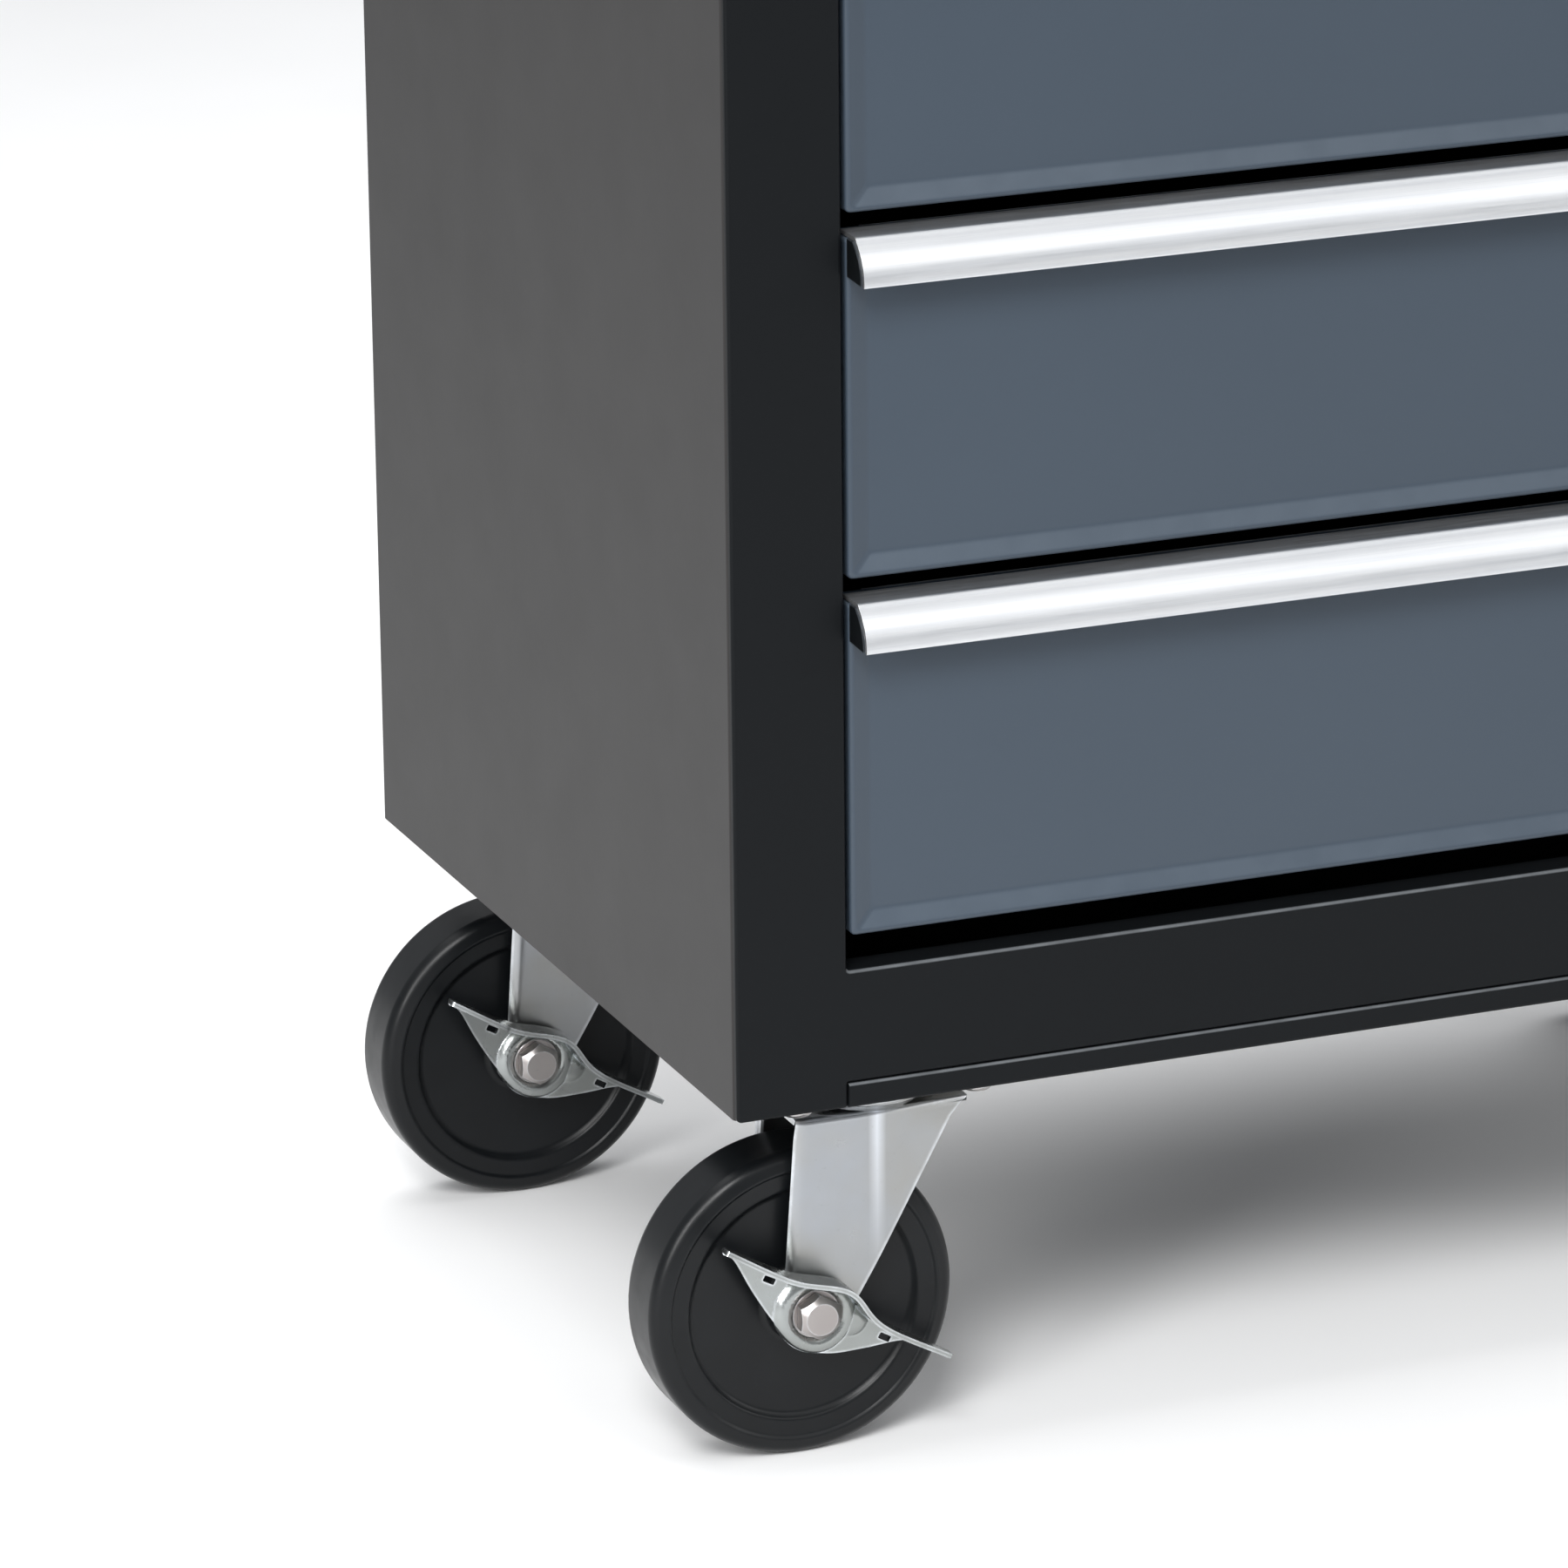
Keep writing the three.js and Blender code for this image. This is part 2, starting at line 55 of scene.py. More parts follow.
class Box:
    """Where a CAD node is."""

    def __init__(self, node):
        low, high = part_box(node)
        self.low = (Vector(low) - CORNER) / MM
        self.high = (Vector(high) - CORNER) / MM
        self.middle = (self.low + self.high) / 2

    def span(self, axis):
        return self.low["xyz".index(axis)], self.high["xyz".index(axis)]


DRAWER_NUMBERS = (1, 2, 3, 4)
ENDS = ("front", "rear")
SIDES = ("left", "right")
GAP = 0.3  # between neighbouring pieces

# ---- camera -------------------------------------------------------------------------------------------
# Stands to the left of the cabinet's lower left corner and looks down on it with a long lens.
CAMERA_FROM_CORNER = Vector((-1.0574, -2.6938, 1.0778))
CAMERA_YAW, CAMERA_PITCH, CAMERA_ROLL = 21.81, -18.0, -0.58
CAMERA_LENS, CAMERA_SENSOR = 184.25, 36.0


def add_camera():
    """The camera, from the values above."""
    data = bpy.data.cameras.new("camera")
    data.sensor_width = CAMERA_SENSOR
    data.lens = CAMERA_LENS
    camera = bpy.data.objects.new("camera", data)
    bpy.context.scene.collection.objects.link(camera)
    turn = Matrix.Rotation(math.radians(-CAMERA_YAW), 4, "Z")
    tilt = Matrix.Rotation(math.radians(90 + CAMERA_PITCH), 4, "X")
    roll = Matrix.Rotation(math.radians(CAMERA_ROLL), 4, "Z")
    camera.matrix_world = Matrix.Translation(CORNER + CAMERA_FROM_CORNER) @ turn @ tilt @ roll
    bpy.context.scene.camera = camera


# ---- outlines: lists of 2D vectors, anticlockwise round material ------------------------------------------
def outline(*pairs):
    return [Vector(pair) for pair in pairs]


def rectangle(u0, u1, v0, v1):
    return outline((u0, v0), (u1, v0), (u1, v1), (u0, v1))


def circle(middle, radius, count=32):
    steps = [math.tau * i / count for i in range(count)]
    return [Vector((middle[0] + radius * math.cos(a), middle[1] + radius * math.sin(a))) for a in steps]


def rounded(points, radius, steps=4, closed=True):
    """Turns each corner into an arc. radius is one number, or one for each corner."""
    count = len(points)
    radii = radius if isinstance(radius, (list, tuple)) else [radius] * count
    result = []
    for i, corner in enumerate(points):
        if radii[i] == 0 or (not closed and i in (0, count - 1)):
            result.append(corner.copy())
            continue
        before = (points[i - 1] - corner).normalized()
        after = (points[(i + 1) % count] - corner).normalized()
        half = before.angle(after) / 2
        middle = corner + (before + after).normalized() * (radii[i] / math.sin(half))
        start = corner + before * (radii[i] / math.tan(half)) - middle
        end = corner + after * (radii[i] / math.tan(half)) - middle
        sweep = math.pi - 2 * half
        if start.cross(end) < 0:
            sweep = -sweep
        for k in range(steps + 1):
            turn = Matrix.Rotation(sweep * k / steps, 2)
            result.append(middle + turn @ start)
    return result


def offset(path, distance, closed=True):
    """The path moved to its left, which for a closed outline is into the material."""
    count = len(path)
    moved = []
    for i, point in enumerate(path):
        runs = []
        if closed or i > 0:
            runs.append(point - path[i - 1])
        if closed or i < count - 1:
            runs.append(path[(i + 1) % count] - point)
        lefts = [Vector((-run.y, run.x)).normalized() for run in runs if run.length > 1e-9]
        middle = (lefts[0] + lefts[-1]).normalized()
        moved.append(point + middle * (distance / middle.dot(lefts[0])))
    return moved


def strip(path, thickness):
    """Outline of sheet that follows an open path, with its thickness on the left of it."""
    return path + offset(path, thickness, closed=False)[::-1]


def bezier(p0, p1, p2, p3, steps):
    """Points along a cubic curve."""
    points = []
    for k in range(steps + 1):
        t = k / steps
        s = 1 - t
        weights = (s**3, 3 * s * s * t, 3 * s * t * t, t**3)
        points.append(sum((w * Vector(p) for w, p in zip(weights, (p0, p1, p2, p3))), Vector((0, 0))))
    return points


def spline(points, steps):
    """Points along a smooth curve through the given ones."""
    padded = [2 * points[0] - points[1], *points, 2 * points[-1] - points[-2]]
    result = []
    for before, start, end, after in zip(padded, padded[1:], padded[2:], padded[3:]):
        result += bezier(start, start + (end - before) / 6, end - (after - start) / 6, end, steps)[:-1]
    return [*result, points[-1].copy()]


def smooth_step(value):
    value = min(1.0, max(0.0, value))
    return value * value * (3 - 2 * value)


# ---- solids: a shape is (vertices, faces) -----------------------------------------------------------------
def on_axis(axis, point, depth):
    u, v = point
    return {"X": (depth, u, v), "Y": (u, depth, v), "Z": (u, v, depth)}[axis]


def band(start, count):
    """Faces that join a ring of count vertices, from number start on, to the ring that follows it."""
    faces = []
    for i in range(count):
        j = (i + 1) % count
        faces.append((start + i, start + j, start + count + j, start + count + i))
    return faces


def sheet(loops, axis):
    """Closed body between two flat caps. loops holds (outline, wall) pairs: the outside first, then clockwise
    holes. A wall lists (inset, depth) steps that lead its outline from the first cap to the last."""
    vertices, faces, caps = [], [], ([], [])
    for points, wall in loops:
        count = len(points)
        start = len(vertices)
        for inset, depth in wall:
            vertices += [on_axis(axis, point, depth) for point in offset(points, inset)]
        for step in range(len(wall) - 1):
            faces += band(start + step * count, count)
        caps[0].append((offset(points, wall[0][0]), start))
        caps[1].append((offset(points, wall[-1][0]), start + (len(wall) - 1) * count))
    for cap in caps:
        rings = [[point.to_3d() for point in ring] for ring, _ in cap]
        numbers = [start + i for ring, start in cap for i in range(len(ring))]
        faces += [tuple(numbers[i] for i in triangle) for triangle in tessellate_polygon(rings)]
    return vertices, faces


def rim(low, high, radius):
    """Wall of a plate whose two edges are rounded off."""
    part = 0.29 * radius  # half way round the arc
    return [(radius, low), (part, low + part), (0, low + radius),
            (0, high - radius), (part, high - part), (radius, high)]


def fold(face, radius, depth, thickness, steps=5):
    """Wall of sheet that bends back from a face. depth is signed, from the face to the wall's edge."""
    way = math.copysign(1, depth)
    turns = [math.pi / 2 * k / steps for k in range(steps + 1)]
    inner = max(radius - thickness, 0.02)
    outside = [(radius * (1 - math.sin(a)), face + way * radius * (1 - math.cos(a))) for a in turns]
    lip = 0.3 * thickness
    edge = [(0, face + depth - way * lip), (lip, face + depth), (thickness - lip, face + depth),
            (thickness, face + depth - way * lip)]
    inside = [(thickness + inner * (1 - math.cos(a)), face + way * (thickness + inner * (1 - math.sin(a))))
              for a in turns]
    return outside + edge + inside


def extrude(points, axis, low, high, edge=0.2, holes=()):
    wall = rim(low, high, edge)
    return sheet([(points, wall), *((hole[::-1], wall) for hole in holes)], axis)


def tidy_faces(faces):
    """Drops the repeated corners of faces that meet an axis."""
    kept = [tuple(dict.fromkeys(face)) for face in faces]
    return [face for face in kept if len(face) > 2]


def lathe(profile, middle, axis="Y", segments=72, closed=True):
    """Turns (radius, along) pairs about an axis through middle. A point at radius 0 lies on the axis."""
    vertices, faces, numbers = [], [], []
    for i in range(segments):
        angle = math.tau * i / segments
        ring = []
        for j, (radius, along) in enumerate(profile):
            if radius == 0 and i > 0:
                ring.append(numbers[0][j])
                continue
            around = Vector((radius * math.cos(angle), radius * math.sin(angle)))
            ring.append(len(vertices))
            vertices.append(Vector(middle) + Vector(on_axis(axis, around, along)))
        numbers.append(ring)
    last = len(profile) if closed else len(profile) - 1
    for i in range(segments):
        a, b = numbers[i], numbers[(i + 1) % segments]
        for j in range(last):
            k = (j + 1) % len(profile)
            faces.append((a[j], a[k], b[k], b[j]))
    return vertices, tidy_faces(faces)


def skin(rings):
    """Joins rings of equal count in order and closes both ends."""
    count = len(rings[0])
    vertices = [point for ring in rings for point in ring]
    faces = [tuple(range(count)), tuple(range(len(vertices) - count, len(vertices)))]
    for step in range(len(rings) - 1):
        faces += band(step * count, count)
    return vertices, faces


def thicken(grid, thickness):
    """Gives a grid of points, as rows, an even thickness behind its face and closes the edges."""
    rows, columns = len(grid), len(grid[0])

    def normal(r, c):
        along = grid[min(r + 1, rows - 1)][c] - grid[max(r - 1, 0)][c]
        across = grid[r][min(c + 1, columns - 1)] - grid[r][max(c - 1, 0)]
        return along.cross(across).normalized()

    front = [point for row in grid for point in row]
    back = [grid[r][c] - normal(r, c) * thickness for r in range(rows) for c in range(columns)]
    size = rows * columns
    faces = []
    for r in range(rows - 1):
        for c in range(columns - 1):
            a = r * columns + c
            quad = (a, a + 1, a + columns + 1, a + columns)
            faces += [quad, tuple(size + i for i in quad)]
    border = [*range(columns - 1), *range(columns - 1, size - 1, columns)]
    border += [*range(size - 1, size - columns, -1), *range(size - columns, 0, -columns)]
    for a, b in zip(border, border[1:] + border[:1]):
        faces.append((a, b, size + b, size + a))
    return front + back, faces


def hexagon_head(middle, flats, base, top, axis="Y", count=72):
    """Hexagonal head between two depths, with its top edge chamfered to a circle."""
    way = math.copysign(1, top - base)
    face = 0.82 * flats / 2

    def ring(reach, depth=None):
        """The hexagon as far as reach from the axis, at a depth or else on the chamfer."""
        points = []
        for i in range(count):
            angle = math.tau * i / count
            corner = flats / 2 / math.cos((angle + math.pi / 6) % (math.pi / 3) - math.pi / 6)
            radius = min(corner, reach)
            at = top - way * (radius - face) if depth is None else depth
            around = Vector((radius * math.cos(angle), radius * math.sin(angle)))
            points.append(Vector(middle) + Vector(on_axis(axis, around, at)))
        return points

    washer_face = 0.95 * flats / 2
    return skin([ring(washer_face, base), ring(flats, base + way * 0.4), ring(flats), ring(face)])


# ---- materials ----------------------------------------------------------------------------------------
class Shader:
    """A Principled material with helpers for the nodes that feed it."""

    def __init__(self, name, metallic, specular=0.5):
        self.material = bpy.data.materials.new(name)
        self.material.use_nodes = True
        self.tree = self.material.node_tree
        self.surface = self.tree.nodes["Principled BSDF"]
        self.surface.inputs["Metallic"].default_value = metallic
        self.surface.inputs["Specular IOR Level"].default_value = specular
        self.place = self.add("ShaderNodeTexCoord").outputs["Object"]

    def add(self, kind, **settings):
        node = self.tree.nodes.new(kind)
        for key, value in settings.items():
            setattr(node, key, value)
        return node

    def link(self, value, socket):
        if isinstance(value, bpy.types.NodeSocket):
            self.tree.links.new(value, socket)
        else:
            socket.default_value = value

    def noise(self, scale, detail=3.0, roughness=0.5, stretch=(1, 1, 1)):
        """Noise of scale cycles in a metre, drawn out along the axes where stretch is small."""
        mapping = self.add("ShaderNodeMapping")
        mapping.inputs["Scale"].default_value = stretch
        self.link(self.place, mapping.inputs["Vector"])
        texture = self.add("ShaderNodeTexNoise")
        self.link(mapping.outputs["Vector"], texture.inputs["Vector"])
        texture.inputs["Scale"].default_value = scale
        texture.inputs["Detail"].default_value = detail
        texture.inputs["Roughness"].default_value = roughness
        return texture.outputs["Fac"]

    def along(self, axis):
        split = self.add("ShaderNodeSeparateXYZ")
        self.link(self.place, split.inputs["Vector"])
        return split.outputs[axis]

    def facing_up(self):
        geometry = self.add("ShaderNodeNewGeometry")
        split = self.add("ShaderNodeSeparateXYZ")
        self.link(geometry.outputs["Normal"], split.inputs["Vector"])
        return split.outputs["Z"]

    def levels(self, value, low, high, start=0.0, end=1.0):
        """Maps low..high to start..end and holds it there."""
        node = self.add("ShaderNodeMapRange")
        self.link(value, node.inputs["Value"])
        for socket, number in zip(("From Min", "From Max", "To Min", "To Max"), (low, high, start, end)):
            node.inputs[socket].default_value = number
        return node.outputs["Result"]

    def math(self, operation, first, second=0.0):
        node = self.add("ShaderNodeMath", operation=operation)
        self.link(first, node.inputs[0])
        self.link(second, node.inputs[1])
        return node.outputs["Value"]

    def mix(self, share, first, second):
        node = self.add("ShaderNodeMix", data_type="RGBA")
        self.link(share, node.inputs["Factor"])
        self.link(first, node.inputs["A"])
        self.link(second, node.inputs["B"])
        return node.outputs["Result"]

    def edges(self, radius):
        """1 on edges sharper than radius, 0 on flat stretches."""
        bevel = self.add("ShaderNodeBevel", samples=4)
        bevel.inputs["Radius"].default_value = radius
        geometry = self.add("ShaderNodeNewGeometry")
        dot = self.add("ShaderNodeVectorMath", operation="DOT_PRODUCT")
        self.link(bevel.outputs["Normal"], dot.inputs[0])
        self.link(geometry.outputs["Normal"], dot.inputs[1])
        return self.levels(dot.outputs["Value"], 0.995, 0.85)

    def finish(self, colour, roughness, *bumps):
        """bumps are (height, strength, distance) layers."""
        self.link(colour, self.surface.inputs["Base Color"])
        self.link(roughness, self.surface.inputs["Roughness"])
        normal = None
        for height, strength, distance in bumps:
            bump = self.add("ShaderNodeBump")
            bump.inputs["Strength"].default_value = strength
            bump.inputs["Distance"].default_value = distance
            self.link(height, bump.inputs["Height"])
            if normal:
                self.link(normal, bump.inputs["Normal"])
            normal = bump.outputs["Normal"]
        self.link(normal, self.surface.inputs["Normal"])
        return self.material


def grey(level):
    """Linear value of a display grey from 0 to 255."""
    level /= 255
    return level / 12.92 if level <= 0.04045 else ((level + 0.055) / 1.055) ** 2.4


def colour(red, green, blue):
    return grey(red), grey(green), grey(blue), 1.0


def darker(shade, share):
    return (*(share * value for value in shade[:3]), 1.0)


def powder_coat(name, base, roughness, specular, edge_highlight):
    """Baked paint on sheet steel: fine orange peel, faint clouds, dust specks and a painted highlight on
    bends that face partly up.
    """
    shader = Shader(name, 0.0, specular)
    clouds = shader.levels(shader.noise(7, 4), 0.3, 0.7)
    tint = shader.mix(clouds, darker(base, 0.985), darker(base, 1.015))
    specks = shader.levels(shader.noise(1400, 2), 0.70, 0.80, 0.0, 0.35)
    tint = shader.mix(specks, tint, darker(base, 1.6))
    # Painted highlight: bends that face partly up are painted paler, in patches, as overhead light would
    # light them.
    upward = shader.facing_up()
    bend = shader.math("MULTIPLY", shader.levels(upward, 0.2, 0.5), shader.levels(upward, 0.97, 0.85))
    bend = shader.math("MULTIPLY", bend, shader.levels(shader.noise(60, 4), 0.3, 0.6, 0.6, 1.0))
    tint = shader.mix(bend, tint, edge_highlight)
    smears = shader.levels(shader.noise(22, 5, 0.6), 0.35, 0.7, roughness - 0.01, roughness + 0.02)
    peel = shader.noise(620, 2)
    return shader.finish(tint, smears, (peel, 0.12, 0.1 * MM), (shader.noise(9, 2), 0.012, 0.8 * MM))


def brushed_aluminium(name):
    """Extruded and brushed along its length, which is X, then anodised."""
    shader = Shader(name, 1.0)
    along = (0.012, 1, 1)
    grain = shader.noise(2600, 3, 0.6, along)
    broad = shader.noise(420, 3, 0.5, along)
    tint = shader.mix(shader.levels(broad, 0.3, 0.7), colour(218, 220, 223), colour(236, 237, 238))
    tint = shader.mix(shader.levels(grain, 0.55, 0.75, 0.0, 0.35), tint, colour(198, 201, 205))
    lines = shader.levels(grain, 0.3, 0.7, 0.36, 0.5)
    return shader.finish(tint, lines, (grain, 0.22, 0.05 * MM), (broad, 0.12, 0.08 * MM))


def zinc(name, low=(163, 162, 158), high=(168, 172, 178), roughness=0.3, edge_highlight=0.9, fold=None):
    """Bright zinc plate on pressed steel: faint bluish clouds, draw marks, edges painted pale, partly as wear
    and partly as a painted highlight, and dulled patches.
    fold is (x, z0, z1): a painted highlight runs along a bend there, stronger towards z1."""
    shader = Shader(name, 1.0)
    clouds = shader.levels(shader.noise(24, 3, 0.5), 0.3, 0.7)
    tint = shader.mix(clouds, colour(*low), colour(*high))
    # Edges painted pale in patches: partly wear, partly a painted highlight where edges catch the light.
    uneven = shader.levels(shader.noise(180, 3), 0.4, 0.6, 0.6, 1)
    worn = shader.math("MULTIPLY", shader.edges(edge_highlight * MM), uneven)
    tint = shader.mix(worn, tint, colour(232, 236, 240))
    if fold:
        # Painted highlight: a pale band within 4 mm of the fold at x, fading out towards z0.
        across = shader.math("ABSOLUTE", shader.math("SUBTRACT", shader.along("X"), fold[0]))
        painted_highlight = shader.math("MULTIPLY", shader.levels(across, 0, 4 * MM, 0.9, 0),
                              shader.levels(shader.along("Z"), *fold[1:]))
        tint = shader.mix(painted_highlight, tint, colour(232, 236, 242))
    spots = shader.levels(shader.noise(520, 3), 0.64, 0.78, 0.0, 0.2)
    tint = shader.mix(spots, tint, colour(140, 142, 144))
    dull = shader.levels(shader.noise(70, 3, 0.5), 0.3, 0.75, roughness - 0.03, roughness + 0.06)
    drawn = shader.noise(900, 2, 0.5, (1, 1, 0.08))
    return shader.finish(tint, dull, (drawn, 0.04, 0.04 * MM), (shader.noise(160, 2), 0.04, 0.05 * MM))


def hard_rubber(name, base):
    """Moulded black rubber with a fine grain, dusty mottling, scuffs and a painted highlight on its edges."""
    shader = Shader(name, 0.0, 0.26)
    dust = shader.levels(shader.noise(38, 5, 0.6), 0.4, 0.75, 0.0, 0.5)
    tint = shader.mix(dust, base, darker(base, 1.7))
    # Painted highlight: edges, such as the wheel's bead and ring steps, are painted much paler.
    tint = shader.mix(shader.math("MULTIPLY", shader.edges(0.7 * MM), 0.7), tint, darker(base, 16))
    scuffs = shader.levels(shader.noise(300, 4, 0.7, (1, 0.25, 1)), 0.62, 0.7, 0.0, 0.35)
    tint = shader.mix(scuffs, tint, darker(base, 2.6))
    worn = shader.levels(shader.noise(80, 3), 0.3, 0.7, 0.28, 0.38)
    grain, waves = shader.noise(1500, 2), shader.noise(70, 3)
    return shader.finish(tint, worn, (grain, 0.1, 0.06 * MM), (waves, 0.05, 0.2 * MM))


def polished_chrome(name):
    """Bright plate on the lock, with a hazy patch here and there."""
    shader = Shader(name, 1.0)
    hazy = shader.levels(shader.noise(240, 4), 0.4, 0.75, 0.07, 0.2)
    clouds = shader.levels(shader.noise(60, 3), 0.3, 0.7)
    tint = shader.mix(clouds, colour(222, 223, 225), colour(238, 239, 241))
    return shader.finish(tint, hazy, (shader.noise(900, 2), 0.04, 0.03 * MM))


def floor_paint(name):
    """Matt white studio floor, very slightly uneven."""
    shader = Shader(name, 0.0, 0.2)
    clouds = shader.levels(shader.noise(1.5, 3), 0.3, 0.7)
    tint = shader.mix(clouds, colour(248, 248, 248), colour(252, 252, 252))
    matt = shader.levels(shader.noise(6, 3), 0.3, 0.7, 0.6, 0.7)
    return shader.finish(tint, matt, (shader.noise(300, 2), 0.02, MM))


# Each paint's last colour is the painted highlight on its upward bends.
SIDE_PAINT = powder_coat("side_paint", colour(52, 51, 51), 0.42, 0.13, colour(80, 80, 80))
FRAME_PAINT = powder_coat("frame_paint", colour(19, 21, 23), 0.42, 0.1, colour(98, 101, 104))
DRAWER_PAINT = powder_coat("drawer_paint", colour(59, 69, 80), 0.36, 0.36, colour(80, 90, 101))
ALUMINIUM = brushed_aluminium("handle_aluminium")
ZINC = zinc("zinc_plate")
FORK = Box("front_swivel_fork")
FORK_BEND = FORK.low.x + 43  # the legs of both swivel forks are creased along this x
FORK_HIGHLIGHT_LOW, FORK_HIGHLIGHT_HIGH = -82, -10  # a painted highlight runs along the crease between these heights
# The fork's zinc carries a painted highlight along the legs' crease.
FORK_ZINC = zinc("zinc_fork", edge_highlight=3.0, fold=(
    CORNER.x + FORK_BEND * MM,
    CORNER.z + FORK_HIGHLIGHT_LOW * MM,
    CORNER.z + FORK_HIGHLIGHT_HIGH * MM,
))
DARK_ZINC = zinc("zinc_fastener", (164, 158, 156), (176, 171, 169), 0.34)
SLIDE_STEEL = zinc("slide_steel", (150, 153, 156), (186, 189, 192), 0.34)
RUBBER = hard_rubber("wheel_rubber", colour(13, 15, 17))
CHROME = polished_chrome("lock_chrome")
PEDAL_ZINC = zinc("zinc_pedal", (152, 155, 152), (168, 172, 172), 0.25, 1.8)
FLOOR_PAINT = floor_paint("floor_paint")


# ---- pieces -------------------------------------------------------------------------------------------
def mesh_object(name, shapes):
    """A linked mesh object, in metres, of shapes that are in millimetres from CORNER."""
    mesh = bpy.data.meshes.new(name)
    made = bmesh.new()
    for vertices, faces in shapes:
        corners = [made.verts.new(CORNER + Vector(vertex) * MM) for vertex in vertices]
        for face in faces:
            made.faces.new([corners[i] for i in face])
    bmesh.ops.recalc_face_normals(made, faces=made.faces)
    made.to_mesh(mesh)
    made.free()
    thing = bpy.data.objects.new(name, mesh)
    bpy.context.scene.collection.objects.link(thing)
    return thing


def pierced(shape, tools):
    """The shape with every tool, another shape, cut out of it."""
    body, cutter = mesh_object("body", [shape]), mesh_object("cutter", tools)
    cut = body.modifiers.new("cut", "BOOLEAN")
    cut.operation = "DIFFERENCE"
    cut.solver = "EXACT"
    cut.object = cutter
    bpy.context.view_layer.update()
    mesh = bpy.data.meshes.new_from_object(body.evaluated_get(bpy.context.evaluated_depsgraph_get()))
    vertices = [(vertex.co - CORNER) / MM for vertex in mesh.vertices]
    faces = [tuple(face.vertices) for face in mesh.polygons]
    for thing in (body, cutter):
        bpy.data.objects.remove(thing)
    return vertices, faces


def piece(name, shapes, body, material, stands_for=(), sharp=35):
    """Makes one object of the given shapes, shades it and lets it ride on its CAD body."""
    thing = mesh_object(name, shapes)
    thing.data.shade_smooth()
    thing.data.set_sharp_from_angle(angle=math.radians(sharp))
    thing.data.materials.append(material)
    thing.modifiers.new("even_shading", "WEIGHTED_NORMAL").keep_sharp = True
    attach(thing, body)
    if stands_for:
        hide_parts(*stands_for)
    return thing


def moved(shape, by):
    vertices, faces = shape
    return [Vector(vertex) + Vector(by) for vertex in vertices], faces


def mirrored(shape, axis, middle):
    """The shape reflected in the plane where the axis reads middle."""
    k = "xyz".index(axis)
    vertices = [Vector(vertex) for vertex in shape[0]]
    for vertex in vertices:
        vertex[k] = 2 * middle - vertex[k]
    return vertices, shape[1]


def pan_head(middle, radius, height, axis="Y", way=-1):
    """Low domed screw head with a cross recess, whose seat is at middle."""
    at = middle["XYZ".index(axis)]
    dome = [(radius * math.sin(a), at + way * height * (0.35 + 0.65 * math.cos(a)))
            for a in (math.radians(d) for d in (90, 65, 40, 20))]
    low = list(middle)
    low["XYZ".index(axis)] = 0
    head = lathe([(0, at), (radius, at), *dome, (0, at + way * height)], low, axis, 32)
    arm, wide = 0.62 * radius, 0.16 * radius
    depth = sorted((at + way * 0.45 * height, at + way * 2 * height))
    place = Vector([low["XYZ".index(k)] for k in "XYZ" if k != axis])
    quarter = outline((wide, -arm), (wide, -wide), (arm, -wide))
    cross = [Matrix.Rotation(math.pi / 2 * k, 2) @ point + place for k in range(4) for point in quarter]
    return pierced(head, [extrude(cross, axis, *depth, 0.01)])


# ---- cabinet ------------------------------------------------------------------------------------------
CABINET = Box("front_frame")
TOP = Box("top_panel")
PAN = Box("base_pan")
FACE = 0.0  # the frame's front face
MIDDLE_X = CABINET.middle.x
FRONT_BOXES = {number: Box(f"drawer_{number}_front") for number in DRAWER_NUMBERS}
# Left, right, lower and upper edge of the frame's opening, which leaves a gap round the drawers.
OPENING = (
    FRONT_BOXES[1].low.x - 1.8,
    FRONT_BOXES[1].high.x + 1.8,
    FRONT_BOXES[DRAWER_NUMBERS[-1]].low.z - 14,
    Box("drawer_1_handle").high.z + 7.1,
)
SHEET = 1.2


def front_frame():
    """Stiles and rails in one sheet. Its lower edge steps up between the stiles, over the pan's lip."""
    thickness = 1.4
    x0, x1 = CABINET.span("x")
    z0, z1 = CABINET.span("z")
    left, right, sill, head = OPENING
    step = PAN.high.z + GAP
    corners = outline((x0, z0), (left, z0), (left, step), (right, step),
                      (right, z0), (x1, z0), (x1, z1), (x0, z1))
    edge = rounded(corners, [2, 1.4, 0.6, 0.6, 1.4, 2, 2, 2])
    hole = rounded(rectangle(left, right, sill, head), 1.2)[::-1]
    lock = Box("lock_barrel").middle
    lock_hole = circle((lock.x, lock.z), 9.8, 48)[::-1]
    loops = [
        (edge, fold(FACE, 1.3, 3.2, thickness)),
        (hole, fold(FACE, 1.7, 14, thickness)),
        (lock_hole, [(0, FACE), (0, FACE + thickness)]),
    ]
    piece("front_frame", [sheet(loops, "Y")], "cabinet", FRAME_PAINT, ["front_frame"])


def side_panels():
    """Each is one sheet with a fold behind the frame and a wider one at the back."""
    for side in SIDES:
        box = Box(f"{side}_side_panel")
        front, back = 3.5, box.high.y
        plan = rounded(outline((20, back), (0, back), (0, front), (12, front)), 2, closed=False)
        shape = extrude(strip(plan, SHEET), "Z", *box.span("z"))
        if side == "right":
            shape = mirrored(shape, "x", MIDDLE_X)
        piece(f"{side}_side_panel", [shape], "cabinet", SIDE_PAINT, [f"{side}_side_panel"])


